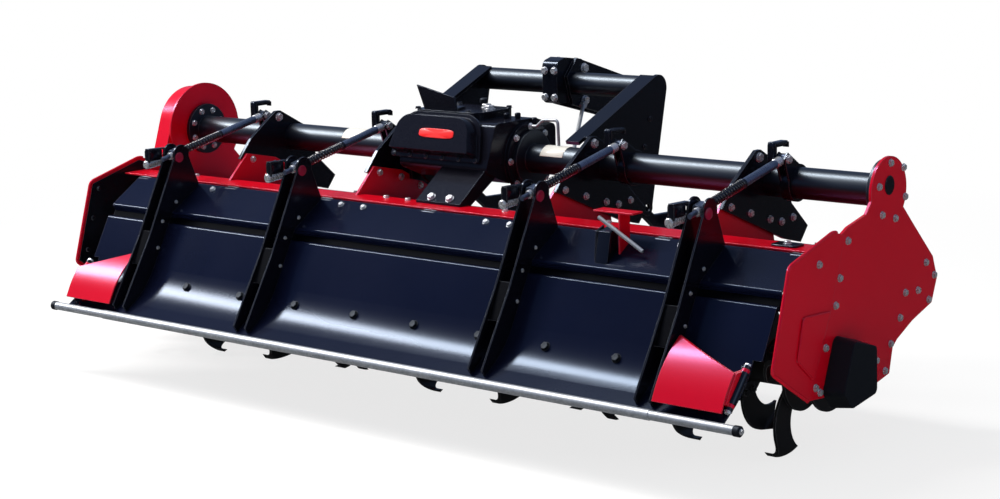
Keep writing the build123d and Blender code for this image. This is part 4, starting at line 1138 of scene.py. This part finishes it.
@dataclass
class Kit:
    """Puts new pieces into the scene with a finish and a body.

    A bolt's rows of radius and height are in half widths across its flats: washer, hexagon and crown.
    """

    finishes: Finishes
    washer: Table = ((0.0, 0.0), (1.38, 0.0), (1.38, 0.16))
    hexagon: Table = ((1.0, 0.18), (1.0, 0.80), (0.90, 0.90))
    crown: Table = ((0.62, 0.90), (0.0, 0.82))
    bolt_sides: int = 12
    turn_sides: int = 24
    merge: float = 1e-6
    sharp: float = 34.0

    def add(self, name: str, grids: np.ndarray, slot: Slot, body: Body) -> bpy.types.Object:
        """Makes one mesh from closed grids whose columns run round and whose rows run along.

        Args:
            name: the piece's name.
            grids: array of shape (grids, rows, columns, 3), in metres.
            slot: its finish.
            body: the body that it rides on.

        Returns:
            The object.
        """
        count, rows, columns = grids.shape[:3]
        index = np.arange(count * rows * columns).reshape(count, rows, columns)
        turn = np.roll(index, -1, axis=2)
        faces = np.stack([index[:, :-1], turn[:, :-1], turn[:, 1:], index[:, 1:]], axis=-1).reshape(-1, 4)
        mesh = bpy.data.meshes.new(name)
        mesh.from_pydata(grids.reshape(-1, 3).tolist(), [], faces.tolist())
        shell = bmesh.new()
        shell.from_mesh(mesh)
        bmesh.ops.remove_doubles(shell, verts=shell.verts, dist=self.merge)
        shell.to_mesh(mesh)
        shell.free()
        mesh.polygons.foreach_set("use_smooth", np.ones(len(mesh.polygons), dtype=bool))
        mesh.set_sharp_from_angle(angle=math.radians(self.sharp))
        mesh.materials.append(self.finishes.made[slot])
        item = bpy.data.objects.new(name, mesh)
        bpy.context.scene.collection.objects.link(item)
        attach(item, body.value)
        LOG.info("piece %s: %d faces", name, len(mesh.polygons))
        return item

    def bolts(self, name: str, places: np.ndarray, axis: object, size: float, slot: Slot, body: Body) -> None:
        """Adds hexagon-headed bolts with washers, all facing one way.

        Args:
            name: the piece's name.
            places: where the washers sit.
            axis: the way the heads point.
            size: half the width across the flats, in millimetres.
            slot: finish.
            body: the body they ride on.
        """
        axes = np.broadcast_to(unit(np.array(axis, dtype=float)), places.shape)
        rows = np.array(self.washer + self.hexagon + self.crown) * size * MM
        six = np.repeat((False, True, False), (len(self.washer), len(self.hexagon), len(self.crown)))
        self.add(name, turned(places, axes, rows, six, self.bolt_sides), slot, body)

    def turn(
        self, name: str, places: np.ndarray, axis: object, profile: Table, slot: Slot, body: Body
    ) -> None:
        """Adds plain turned pieces, all facing one way.

        Args:
            name: the piece's name.
            places: foot of each.
            axis: the way they point.
            profile: rows of radius and height in millimetres.
            slot: finish.
            body: the body they ride on.
        """
        axes = np.broadcast_to(unit(np.array(axis, dtype=float)), places.shape)
        rows = np.array(profile, dtype=float) * MM
        six = np.zeros(len(rows), dtype=bool)
        self.add(name, turned(places, axes, rows, six, self.turn_sides), slot, body)


@dataclass
class SideBolts:
    """Bolts of the right side plate, the rear covers and the left pipe flange, and the covers' trim."""

    plate_x: float = 1409.0
    cover_x: float = 1414.0
    left_cover_x: float = -1488.0
    head: float = 8.5
    neck: Table = ((6, 81), (81, 59), (-59, 20), (92, -28), (-40, -64), (36, -84))
    edge: Table = (
        (-231, -109),
        (224, -244),
        (276, -290),
        (-273, -208),
        (101, -314),
        (177, -320),
        (244, -360),
        (-295, -282),
        (71, -384),
        (-347, -393),
        (18, -452),
        (-64, -485),
        (-14, -526),
        (-399, -496),
        (-376, -514),
    )
    cover: Table = ((-392, -150),)
    flange_x: float = -1461.0
    flange_r: float = 71.0
    flange_count: int = 8
    oval: Pair = (0.0, 17.0)
    oval_half: Pair = (0.026, 0.028)
    oval_thick: float = 0.003
    oval_power: float = 2.0
    lining: Table = (
        (-254, -90),
        (-316, -70),
        (-545, -132),
        (-629, -410),
        (-563, -452),
        (-444, -526),
        (-410, -470),
        (-326, -292),
    )
    lining_share: float = 0.955
    lining_faces: Table = ((-1484.2, -1482.4), (1407.4, 1409.2))
    lining_edge: float = 0.5
    lining_bolts: Table = ((-515, -160), (-548, -262), (-580, -372))
    lining_head: float = 6.5
    rim: Table = ((-300, -75), (-316, -70), (-545, -132), (-629, -410), (-563, -452), (-446, -524))
    rim_x: Pair = (-1488.5, 1413.5)
    rim_bend: float = 16.0
    rim_r: float = 5.2
    crease: Table = ((-338, -292), (-476, -284), (-505, -400), (-428, -463))
    crease_x: Pair = (-1492.0, 1417.0)
    crease_bend: float = 14.0
    crease_r: float = 3.0
    bend_steps: int = 8
    wire_sides: int = 10

    def build(self, kit: Kit) -> None:
        """Adds the bolts, the blank oval plate on the neck and the covers' trim.

        Args:
            kit: makes the pieces.
        """
        rows = {
            "neck": spots(self.plate_x, self.neck),
            "edge": spots(self.plate_x, self.edge),
            "cover": spots(self.cover_x, self.cover),
        }
        for name, places in rows.items():
            kit.bolts(f"right_{name}_bolts", places, RIGHT, self.head, Slot.BRIGHT, Body.FRAME)
        ring = circle(self.flange_x, self.flange_r, self.flange_count, np.pi / self.flange_count)
        kit.bolts("left_flange_bolts", ring, RIGHT, self.head, Slot.BRIGHT, Body.FRAME)
        middle = spot(self.plate_x, *self.oval)[0]
        sheet = plate_rows(self.oval_half, self.oval_thick)
        blank = plaque(middle, AHEAD, UP, self.oval_half, self.oval_power, sheet)
        kit.add("plate_blank_oval", blank, Slot.BLACK, Body.FRAME)
        self.trim(kit)
        places = spots(self.left_cover_x, self.cover)
        kit.bolts("left_cover_bolts", places, LEFT, self.head, Slot.BRIGHT, Body.FRAME)

    def trim(self, kit: Kit) -> None:
        """Adds the covers' linings with their bolts, and their rims and pressed creases.

        Args:
            kit: makes the pieces.
        """
        outline = np.array(self.lining, dtype=float)
        inset = outline.mean(axis=0) + (outline - outline.mean(axis=0)) * self.lining_share
        sheets = [prism(inset, *faces, self.lining_edge) for faces in self.lining_faces]
        kit.add("cover_linings", np.concatenate(sheets), Slot.BLACK, Body.FRAME)
        for (name, _), rim_x, crease_x in zip(HANDS, self.rim_x, self.crease_x):
            rim = eased(spots(rim_x, self.rim), self.rim_bend * MM, self.bend_steps)
            crease = eased(spots(crease_x, self.crease), self.crease_bend * MM, self.bend_steps)
            edging = wire(rim, self.rim_r * MM, RIGHT, self.wire_sides)
            bead = wire(crease, self.crease_r * MM, RIGHT, self.wire_sides)
            kit.add(f"cover_rim_{name}", edging, Slot.RED, Body.FRAME)
            kit.add(f"cover_crease_{name}", bead, Slot.RED, Body.FRAME)
        inner_faces = (self.lining_faces[0][1], self.lining_faces[1][0])
        for name, x, axis in zip(("left", "right"), inner_faces, (RIGHT, LEFT)):
            places = spots(x, self.lining_bolts)
            kit.bolts(f"lining_bolts_{name}", places, axis, self.lining_head, Slot.BLACK, Body.FRAME)


@dataclass
class CaseBolts:
    """Cover bolts and plugs on the outer face of the left drive case, and the row along the hood's brow."""

    face: float = -1556.0
    foot: Pair = ROTOR_AXIS
    head_r: float = 139.0
    foot_r: float = 67.0
    head_count: int = 8
    foot_count: int = 5
    side_count: int = 4
    bolt: float = 7.5
    plugs: Table = ((-60.0, -130.0), (-205.0, -418.0))
    plug: float = 13.0
    hub: Table = ((0.0, 0.0), (46.0, 0.0), (46.0, 5.0), (42.0, 8.0), (20.0, 9.0), (0.0, 9.0))
    brow: Pair = (120.0, -206.4)
    brow_x: tuple[float, ...] = (-1340, -1100, -820, -560, 300, 560, 820, 1100, 1340)
    brow_axis: Point = (0, 0.208, 0.978)
    brow_bolt: float = 8.0

    def build(self, kit: Kit) -> None:
        """Adds bolts round both ends of the case, between them along its straight sides, and on the hood.

        Args:
            kit: makes the pieces.
        """
        reach = math.hypot(*self.foot)
        aim = math.atan2(self.foot[1], self.foot[0])
        open_by = math.acos((self.head_r - self.foot_r) / reach)
        head = aim + open_by + np.linspace(0.0, 2 * np.pi - 2 * open_by, self.head_count)
        foot = aim + np.linspace(-open_by, open_by, self.foot_count)
        top = self.head_r * np.stack([np.cos(head), np.sin(head)], axis=-1)
        low = np.array(self.foot) + self.foot_r * np.stack([np.cos(foot), np.sin(foot)], axis=-1)
        share = np.linspace(0.0, 1.0, self.side_count + 2)[1:-1, None]
        sides = [top[0] + (low[-1] - top[0]) * share, top[-1] + (low[0] - top[-1]) * share]
        places = spots(self.face, np.concatenate([top, low, *sides]))
        kit.bolts("case_bolts", places, LEFT, self.bolt, Slot.BRIGHT, Body.FRAME)
        kit.bolts("case_plugs", spots(self.face, self.plugs), LEFT, self.plug, Slot.BRIGHT, Body.FRAME)
        kit.turn("case_hub_cap", spot(self.face, *self.foot), LEFT, self.hub, Slot.RED, Body.FRAME)
        row = spot(self.brow_x, *self.brow)
        kit.bolts("hood_bolts", row, self.brow_axis, self.brow_bolt, Slot.BRIGHT, Body.FRAME)


@dataclass
class FrameBolts:
    """Bolts of the uprights, the gussets, the mast, its clamp, the gearbox's foot and the hood's ledge."""

    right_faces: Pair = (1016.0, 406.0)
    gusset_faces: Pair = (-995.0, -385.0)
    plate: Table = ((-222, -50), (-118, -83), (-12, -116), (52, -132), (117, -128))
    gusset: Table = ((-215, -56), (-110, -84), (-15, -126))
    plate_bolt: float = 9.0
    ear_faces: tuple[float, ...] = (1016.0, 406.0, -394.0, -1004.0)
    ear: Pair = (-72.0, 78.0)
    ear_bolt: float = 11.5
    link_x: float = 43.0
    link: Table = ((355, 261), (357, 152))
    link_bolt: float = 13.0
    clamp_x: tuple[float, ...] = (-20.0, 20.0, -20.0, 20.0)
    clamp_back: float = 222.0
    clamp_up: tuple[float, ...] = (262.0, 262.0, 172.0, 172.0)
    clamp_bolt: float = 10.0
    mast_x: float = 383.0
    mast: Table = ((262.0, 118.0), (230.0, 30.0))
    mast_bolt: float = 7.0
    ledge_x: tuple[float, ...] = (-264.0, -169.0, 240.0, 640.0, -640.0, -1180.0)
    ledge: Pair = (-316.0, -117.0)
    ledge_bolt: float = 8.0
    foot_x: Pair = (-60.0, 18.0)
    foot: Pair = (-322.0, -97.5)
    foot_axis: Point = (0, -0.58, 0.815)
    foot_bolt: float = 11.0
    corner: Point = (1285.0, -346.0, -117.0)
    corner_half: Pair = (0.040, 0.028)
    corner_thick: float = 0.006
    corner_power: float = 8.0
    corner_top: Point = (1285.0, -346.0, -111.0)
    corner_bolt: float = 9.0

    def build(self, kit: Kit) -> None:
        """Adds the bolts, and the small plate at the ledge's right corner.

        Args:
            kit: makes the pieces.
        """
        right = [spots(x, self.plate) for x in self.right_faces]
        left = [spots(x, self.gusset) for x in self.gusset_faces]
        clamp = spot(self.clamp_x, self.clamp_back, self.clamp_up)
        foot = spot(self.foot_x, *self.foot)
        rows = {
            "upright_bolts": (np.concatenate(right + left), RIGHT, self.plate_bolt, Slot.BRIGHT),
            "ear_bolts": (spot(self.ear_faces, *self.ear), RIGHT, self.ear_bolt, Slot.BRIGHT),
            "link_bolts": (spots(self.link_x, self.link), RIGHT, self.link_bolt, Slot.BRIGHT),
            "link_nuts": (spots(-self.link_x, self.link), LEFT, self.link_bolt, Slot.BRIGHT),
            "clamp_bolts": (clamp, BACK, self.clamp_bolt, Slot.BRIGHT),
            "mast_bolts": (spots(self.mast_x, self.mast), RIGHT, self.mast_bolt, Slot.BLACK),
            "ledge_bolts": (spot(self.ledge_x, *self.ledge), UP, self.ledge_bolt, Slot.BRIGHT),
            "gearbox_foot_bolts": (foot, self.foot_axis, self.foot_bolt, Slot.BRIGHT),
        }
        for name, (places, axis, size, slot) in rows.items():
            kit.bolts(name, places, axis, size, slot, Body.FRAME)
        sheet = plate_rows(self.corner_half, self.corner_thick)
        corner = plaque(spot(*self.corner)[0], RIGHT, AHEAD, self.corner_half, self.corner_power, sheet)
        kit.add("ledge_corner_plate", corner, Slot.BLACK, Body.FRAME)
        kit.bolts("ledge_corner_bolt", spot(*self.corner_top), UP, self.corner_bolt, Slot.BRIGHT, Body.FRAME)


@dataclass
class Apron:
    """Bolts of panel and board, near-black strips of painted shade in the board's recess and on the arms'
    webs, the lever's box, and the caps and sleeve of the foot tube.
    """

    head: Pair = (-538.0, -207.0)
    knee: Pair = (-672.0, -452.0)
    foot: Pair = (-780.0, -522.0)
    bend: float = 300.0
    board_x: tuple[float, ...] = (-868, -609, -355, -94, 157, 416, 669, 923)
    board_along: float = 252.0
    board_bolt: float = 11.0
    panel_x: tuple[float, ...] = (-365, -266, 252, 347, -980, 980)
    panel: Pair = (-424.0, -134.8)
    panel_axis: Point = (0, -0.5354, 0.8446)
    panel_bolt: float = 8.0
    # Strip of painted shade in the recess under the panel's edge: outline, half length and broken edge.
    recess_shade: Table = ((13.0, 18.5), (35.0, 18.5), (35.0, 21.0), (13.0, 21.0))
    recess_shade_half: float = 1380.0
    recess_shade_edge: float = 0.4
    # Strips of painted shade on the arms' webs: outline as distance down the slope and inward, half width,
    # broken edge.
    pad: Table = ((91.0, -57.1), (209.0, -53.1), (209.0, -51.9), (91.0, -55.9))
    web_shade_half: float = 22.6
    web_shade_edge: float = 0.3
    box: Table = ((-520.0, -196.0), (-462.0, -160.0), (-462.0, -96.0), (-500.0, -104.0))
    box_x: Pair = (742.0, 786.0)
    box_edge: float = 3.0
    tube: Pair = (-791.4, -529.4)
    tube_end: float = 1419.0
    cap_inside: float = 19.0
    cap: Table = barrel(15.4, 22.0, 2.5)
    cap_bolt: float = 6.5
    sleeve_x: float = -1150.0
    sleeve: Table = barrel(15.2, 2280.0, 0.8)

    def face(self, along: float) -> tuple[np.ndarray, np.ndarray]:
        """Point and outward normal of the board's outer face at a distance from its upper fold.

        The face is straight, then an arc of the bend radius, then straight.

        Args:
            along: distance down the face in millimetres.

        Returns:
            The point and the normal, each as forward and up.
        """
        upper = unit(np.subtract(self.knee, self.head))
        lower = unit(np.subtract(self.foot, self.knee))
        turn = math.acos(float(upper @ lower))
        straight = math.dist(self.head, self.knee) - self.bend * math.tan(turn / 2)
        angle = float(np.clip((along - straight) / self.bend, 0.0, turn))
        normal = np.array((upper[1], -upper[0]))
        centre = np.array(self.head) + upper * straight + normal * self.bend
        spoke = -normal * math.cos(angle) + upper * math.sin(angle)
        ahead = upper * math.cos(angle) + normal * math.sin(angle)
        point = centre + spoke * self.bend + ahead * (along - straight - angle * self.bend)
        return point, -spoke

    def on_slope(self, table: Table) -> np.ndarray:
        """Outline in the side view, from distances down the board's upper slope and inward from it.

        Args:
            table: rows of the two distances, in millimetres.

        Returns:
            Rows of forward and up.
        """
        down = unit(np.subtract(self.knee, self.head))
        inward = np.array((-down[1], down[0]))
        corners = np.array(table)
        return np.array(self.head) + corners[:, :1] * down + corners[:, 1:] * inward

    def build(self, kit: Kit) -> None:
        """Adds the pieces.

        Args:
            kit: makes the pieces.
        """
        point, normal = self.face(self.board_along)
        places = spot(self.board_x, *point)
        kit.bolts("board_bolts", places, (0, *normal), self.board_bolt, Slot.GUARD, Body.BOARD)
        panel = spot(self.panel_x, *self.panel)
        kit.bolts("panel_bolts", panel, self.panel_axis, self.panel_bolt, Slot.BRIGHT, Body.BOARD)
        # A near-black matt strip in the recess: painted shade where the recess lies in shadow.
        recess_shade = prism(self.on_slope(self.recess_shade), -self.recess_shade_half, self.recess_shade_half, self.recess_shade_edge)
        kit.add("recess_painted_shade", recess_shade, Slot.PAINTED_SHADE, Body.BOARD)
        # Near-black matt strips on the rear of each arm's web: painted shade that keeps the webs dark.
        pad = self.on_slope(self.pad)
        pads = [prism(pad, at - self.web_shade_half, at + self.web_shade_half, self.web_shade_edge) for at in ARM_PLACES]
        kit.add("arm_web_painted_shade", np.concatenate(pads), Slot.PAINTED_SHADE, Body.BOARD)
        kit.add("lever_box", prism(np.array(self.box), *self.box_x, self.box_edge), Slot.BLACK, Body.BOARD)
        for name, hand in HANDS:
            axis = (hand, 0, 0)
            start = spot(hand * (self.tube_end - self.cap_inside), *self.tube)
            kit.turn(f"tube_cap_{name}", start, axis, self.cap, Slot.GUARD, Body.BOARD)
            end = spot(hand * (self.tube_end - self.cap_inside + self.cap[-1][1]), *self.tube)
            kit.bolts(f"tube_cap_bolt_{name}", end, axis, self.cap_bolt, Slot.BRIGHT, Body.BOARD)
        kit.turn("tube_sleeve", spot(self.sleeve_x, *self.tube), RIGHT, self.sleeve, Slot.ZINC, Body.BOARD)


@dataclass(frozen=True)
class Grip:
    """A thick rounded grip beside each arm.

    Attributes:
        name: the piece's name.
        off: its back, across from the arm's middle, in millimetres.
        middle: its centre as forward and up.
        half: half width and half height, in metres.
        depth: its thickness in metres.
        body: the body that it rides on.
    """

    name: str
    off: float
    middle: Pair
    half: Pair
    depth: float
    body: Body


@dataclass(frozen=True)
class RodPiece:
    """A turned piece on each rod.

    Attributes:
        name: the piece's name.
        start: its distance from the rod's pin, in millimetres.
        profile: rows of radius and height.
        slot: its finish.
    """

    name: str
    start: float
    profile: Table
    slot: Slot


@dataclass
class HoldDown:
    """Coil springs, collars and pins of the hold-down rods, and the latches and reflectors of the arms."""

    pin: Pair = (-61.0, 78.0)
    pin_half: float = 17.0
    pin_bolt: float = 10.5
    swivel: Pair = (-485.0, -11.0)
    spring_from: float = 225.3
    spring_to: float = 415.2
    turns: float = 16.0
    turn_points: int = 14
    slowing: float = 0.028
    wire_r: float = 2.8
    wire_sides: int = 8
    coil_r: float = 12.1
    rod_pieces: tuple[RodPiece, ...] = (
        RodPiece("rod_cores", 223.3, barrel(7.8, 194.0, 0.5), Slot.BLACK),
        RodPiece("rod_collars", 19.0, barrel(14.5, 30.0, 2.0), Slot.BRIGHT),
        RodPiece("rod_lock_rings", 216.0, barrel(15.0, 9.0, 1.5), Slot.BLACK),
        RodPiece("rod_tail_nuts", 450.0, barrel(13.0, 14.0, 2.0), Slot.BRIGHT),
    )
    cheek: float = 29.0
    swivel_nut: Pair = (-472.0, -30.0)
    swivel_bolt: float = 10.0
    handle_off: float = -42.0
    handle_at: Pair = (-508.0, -34.0)
    handle_axis: Point = (0.0, -1.0, -0.09)
    handle: Table = barrel(14.5, 80.0, 3.0)
    grips: tuple[Grip, ...] = (
        Grip("arm_latch_grips", -50.0, (-552.0, -8.0), (0.031, 0.020), 0.023, Body.BOARD),
        Grip("rod_latch_grips", -38.0, (-79.0, 98.0), (0.011, 0.030), 0.022, Body.FRAME),
        Grip("rod_latch_bars", -38.0, (-46.0, 119.0), (0.038, 0.008), 0.022, Body.FRAME),
    )
    grip_edge: float = 0.002
    grip_power: float = 6.0
    reflector: Pair = (-497.0, -20.0)
    lens: Table = ((0.0, 0.0), (17.5, 0.0), (17.5, 4.0), (15.5, 5.5), (14.5, 4.6), (8.0, 5.8), (0.0, 6.2))
    arm_bolts: tuple[tuple[str, Pair], ...] = (
        ("foot", (-612.0, -318.0)),
        ("heel", (-520.0, -172.0)),
        ("mid", (-585.0, -230.0)),
    )
    arm_bolt: float = 4.5

    def along(self, x: float, distance: float) -> np.ndarray:
        """Point on a rod's middle at a distance from its pin."""
        ahead = unit(np.subtract(self.swivel, self.pin))
        return spot(x, self.pin[0] + ahead[0] * distance, self.pin[1] + ahead[1] * distance)[0]

    def coil(self, x: float) -> np.ndarray:
        """Helix of one spring: it turns evenly and its rise slows at both ends, where the coils close up.

        Args:
            x: the rod's place across the machine.

        Returns:
            The grid of its wire.
        """
        share = np.linspace(0.0, 1.0, int(self.turns * self.turn_points))
        rise = share - self.slowing * np.sin(2 * np.pi * share)
        turn = 2 * np.pi * self.turns * share
        ends = [self.along(x, at) for at in (self.spring_from + self.wire_r, self.spring_to - self.wire_r)]
        ahead = unit(ends[1] - ends[0])
        upward = np.cross(ahead, RIGHT)
        middle = ends[0] + (ends[1] - ends[0]) * rise[:, None]
        swing = RIGHT * np.cos(turn)[:, None] + upward * np.sin(turn)[:, None]
        return wire(middle + swing * self.coil_r * MM, self.wire_r * MM, ahead, self.wire_sides)

    def latches(self, kit: Kit) -> None:
        """Fills the latch hooks of arms and rods with thick rounded grips.

        Args:
            kit: makes the pieces.
        """
        for grip in self.grips:
            reach = min(grip.half)
            edge = self.grip_edge
            back = [(reach, 0.0), (edge, 0.0), (0.0, edge)]
            front = [(0.0, grip.depth - edge), (edge, grip.depth), (reach, grip.depth)]
            rows = np.array(back + front)
            middles = [spot(x + grip.off, *grip.middle)[0] for x in ARM_PLACES]
            grids = [plaque(middle, AHEAD, UP, grip.half, self.grip_power, rows) for middle in middles]
            kit.add(grip.name, np.concatenate(grids), Slot.BLACK, grip.body)

    def build(self, kit: Kit) -> None:
        """Adds the pieces of all four rods and arms.

        Args:
            kit: makes the pieces.
        """
        x = np.array(ARM_PLACES)
        springs = kit.add("coil_springs", np.concatenate([self.coil(at) for at in x]), Slot.SPRING, Body.RODS)
        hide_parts("rod_springs")
        ahead = (0.0, *unit(np.subtract(self.swivel, self.pin)))
        for piece in self.rod_pieces:
            places = np.stack([self.along(at, piece.start) for at in x])
            kit.turn(piece.name, places, ahead, piece.profile, piece.slot, Body.RODS)
        heads = spot(x + self.pin_half, *self.pin)
        nuts = spot(x - self.pin_half, *self.pin)
        kit.bolts("rod_pin_heads", heads, RIGHT, self.pin_bolt, Slot.BRIGHT, Body.FRAME)
        kit.bolts("rod_pin_nuts", nuts, LEFT, self.pin_bolt, Slot.BRIGHT, Body.FRAME)
        swivels = spot(x - self.cheek, *self.swivel_nut)
        kit.bolts("swivel_nuts", swivels, LEFT, self.swivel_bolt, Slot.BRIGHT, Body.BOARD)
        handles = spot(x + self.handle_off, *self.handle_at)
        kit.turn("latch_handles", handles, self.handle_axis, self.handle, Slot.BRIGHT, Body.BOARD)
        self.latches(kit)
        reflectors = spot(x + self.cheek, *self.reflector)
        kit.turn("arm_reflectors", reflectors, RIGHT, self.lens, Slot.LENS, Body.BOARD)
        for name, place in self.arm_bolts:
            places = spot(x + self.cheek, *place)
            kit.bolts(f"arm_{name}_bolts", places, RIGHT, self.arm_bolt, Slot.BRIGHT, Body.BOARD)


@dataclass
class GearboxFittings:
    """Cover bolts, blank plate, flange bolts and top fittings of the gearbox."""

    middle: Point = (-141.0, -205.0, 2.0)
    tilt: float = 20.0
    flange: float = 12.0
    depth: float = 54.0
    row_half: float = 176.0
    row_count: int = 6
    row_rise: float = 7.0
    row_bolt: float = 6.0
    plate_at: Pair = (27.0, 78.0)
    plate_half: Pair = (0.074, 0.0155)
    plate_thick: float = 0.003
    plate_dome: float = 0.0002
    plate_power: float = 4.0
    ring_x: float = 92.0
    ring_r: float = 105.0
    ring_count: int = 8
    ring_bolt: float = 8.5
    top: float = 154.0
    plugs_x: Pair = (-100.0, -62.0)
    plugs: Pair = (10.0, -20.0)
    plug: float = 14.0
    caps_x: tuple[float, ...] = (-290.0, -250.0, -70.0, -34.0)
    caps: tuple[float, ...] = (-118.0, 46.0, -118.0, 46.0)
    cap_bolt: float = 8.0
    breather_at: Pair = (-132.0, 34.0)
    breather: Table = (
        (0.0, 0.0),
        (9.0, 0.0),
        (9.0, 12.0),
        (14.0, 14.0),
        (14.0, 24.0),
        (10.0, 28.0),
        (0.0, 28.0),
    )
    lugs_x: Point = (10.0, 40.0, 85.0)
    lugs: Point = (-20.0, 0.0, 30.0)
    lugs_up: Point = (128.0, 128.0, 112.0)
    lug: Table = barrel(10.0, 18.0, 3.0)

    def on_cover(self, across: object, rise: object, out: float) -> np.ndarray:
        """Point on the sloped cover.

        Args:
            across: to the right of its middle.
            rise: up its slope.
            out: off the casting.

        Returns:
            The points.
        """
        lean = math.radians(self.tilt)
        forward = self.middle[1] + np.asarray(rise) * math.sin(lean) - out * math.cos(lean)
        up = self.middle[2] + np.asarray(rise) * math.cos(lean) + out * math.sin(lean)
        return spot(self.middle[0] + np.asarray(across), forward, up)

    def build(self, kit: Kit) -> None:
        """Adds the fittings.

        Args:
            kit: makes the pieces.
        """
        lean = math.radians(self.tilt)
        outward = (0.0, -math.cos(lean), math.sin(lean))
        upward = np.array((0.0, math.sin(lean), math.cos(lean)))
        across = np.linspace(-self.row_half, self.row_half, self.row_count)
        row = self.on_cover(across, self.row_rise, self.flange)
        kit.bolts("cover_bolts", row, outward, self.row_bolt, Slot.BLACK, Body.FRAME)
        sheet = plate_rows(self.plate_half, self.plate_thick, self.plate_dome)
        middle = self.on_cover(*self.plate_at, self.depth)[0]
        plate = plaque(middle, RIGHT, upward, self.plate_half, self.plate_power, sheet)
        kit.add("cover_plate", plate, Slot.PLATE, Body.FRAME)
        ring = circle(self.ring_x, self.ring_r, self.ring_count)
        kit.bolts("gearbox_flange_bolts", ring, RIGHT, self.ring_bolt, Slot.BRIGHT, Body.FRAME)
        plugs = spot(self.plugs_x, self.plugs, self.top)
        kit.bolts("cap_plugs", plugs, UP, self.plug, Slot.BRIGHT, Body.FRAME)
        caps = spot(self.caps_x, self.caps, self.top)
        kit.bolts("cap_bolts", caps, UP, self.cap_bolt, Slot.BLACK, Body.FRAME)
        kit.turn("breather", spot(*self.breather_at, self.top), UP, self.breather, Slot.GUARD, Body.FRAME)
        lugs = spot(self.lugs_x, self.lugs, self.lugs_up)
        kit.turn("casting_lugs", lugs, UP, self.lug, Slot.CASTING, Body.FRAME)


@dataclass
class PipePads:
    """Blank pale pads on the main pipe, bent to its round."""

    outside: float = 48.4
    inside: float = 47.0
    middles: Pair = (-676.0, 210.0)
    half: float = 46.0
    span: Pair = (78.0, 158.0)
    steps: int = 14
    edge: float = 0.3

    def build(self, kit: Kit) -> None:
        """Adds the pads: an arc outside and one inside, carried along the pipe and closed at both ends.

        Args:
            kit: makes the pieces.
        """
        angle = np.radians(np.linspace(*self.span, self.steps))
        turn = np.concatenate([angle, angle[::-1]])
        reach = np.repeat((self.outside, self.inside), self.steps)
        outline = np.stack([reach * np.cos(turn), reach * np.sin(turn)], axis=-1)
        grids = [prism(outline, middle - self.half, middle + self.half, self.edge) for middle in self.middles]
        kit.add("pipe_pads", np.concatenate(grids), Slot.PAD, Body.FRAME)


@dataclass
class WingFittings:
    """Sleeves on the wings' hinge tubes and the bolts at the ends of their pins."""

    hinge_x: float = 1362.0
    top: Pair = (-624.06, -338.0)
    slope: Pair = (-0.67044, -0.74196)
    sleeve: Pair = (86.0, 185.0)
    sleeve_r: float = 12.6
    sleeve_edge: float = 1.2
    pin: Pair = (66.0, 205.0)
    pin_bolt: float = 8.0

    def at(self, hand: float, distance: float) -> np.ndarray:
        """Point on a hinge's axis, at a distance down from its top."""
        forward, up = np.array(self.top) + np.array(self.slope) * distance
        return spot(hand * self.hinge_x, forward, up)

    def build(self, kit: Kit) -> None:
        """Adds the pieces to both wings.

        Args:
            kit: makes the pieces.
        """
        down = (0.0, *self.slope)
        upward = (0.0, -self.slope[0], -self.slope[1])
        sleeve = barrel(self.sleeve_r, self.sleeve[1] - self.sleeve[0], self.sleeve_edge)
        for (name, hand), body in zip(HANDS, (Body.WING_LEFT, Body.WING_RIGHT)):
            kit.turn(f"wing_sleeve_{name}", self.at(hand, self.sleeve[0]), down, sleeve, Slot.BLACK, body)
            head, nut = (self.at(hand, distance) for distance in self.pin)
            kit.bolts(f"wing_pin_head_{name}", head, upward, self.pin_bolt, Slot.BRIGHT, Body.BOARD)
            kit.bolts(f"wing_pin_nut_{name}", nut, down, self.pin_bolt, Slot.BRIGHT, Body.BOARD)


@dataclass
class TineBolts:
    """Bolts that hold the tines to the rotor's flanges."""

    left: float = -1443.0
    right: float = 1368.0
    inset: float = 92.0
    count: int = 14
    twist: float = 37.0
    centre: Pair = ROTOR_AXIS
    pitch_r: float = 84.0
    spread: Pair = (0.0, 26.0)
    right_tines: Pair = (0.0, 180.0)
    left_tines: Pair = (90.0, 270.0)
    stack: float = 14.0
    bolt: float = 9.0

    def build(self, kit: Kit) -> None:
        """Adds two bolts to each tine: flange by flange the pattern turns on by the twist.

        Args:
            kit: makes the pieces.
        """
        flange = np.arange(self.count)
        x = np.linspace(self.left + self.inset, self.right - self.inset, self.count)
        for name, hand, tines in (("right", 1.0, self.right_tines), ("left", -1.0, self.left_tines)):
            offsets = np.add.outer(tines, self.spread).ravel()
            turn = np.radians(flange[:, None] * self.twist + offsets[None])
            forward = self.centre[0] + self.pitch_r * np.cos(turn)
            up = self.centre[1] + self.pitch_r * np.sin(turn)
            places = spot(np.repeat(x + hand * self.stack, offsets.size), forward.ravel(), up.ravel())
            kit.bolts(f"tine_bolts_{name}", places, (hand, 0, 0), self.bolt, Slot.TINE, Body.ROTOR)


def main() -> None:
    """Builds the finishes, each group of fittings in order, and the stage."""
    logging.basicConfig(level=logging.INFO, format="%(name)s: %(message)s")
    finishes = Finishes()
    finishes.build()
    finishes.coat_nodes()
    kit = Kit(finishes)
    frame_groups = (SideBolts(), CaseBolts(), FrameBolts())
    moving_groups = (Apron(), HoldDown())
    last_groups = (GearboxFittings(), PipePads(), WingFittings(), TineBolts())
    for group in frame_groups + moving_groups + last_groups:
        group.build(kit)
    Stage().build()


if __name__ == "__main__":
    main()
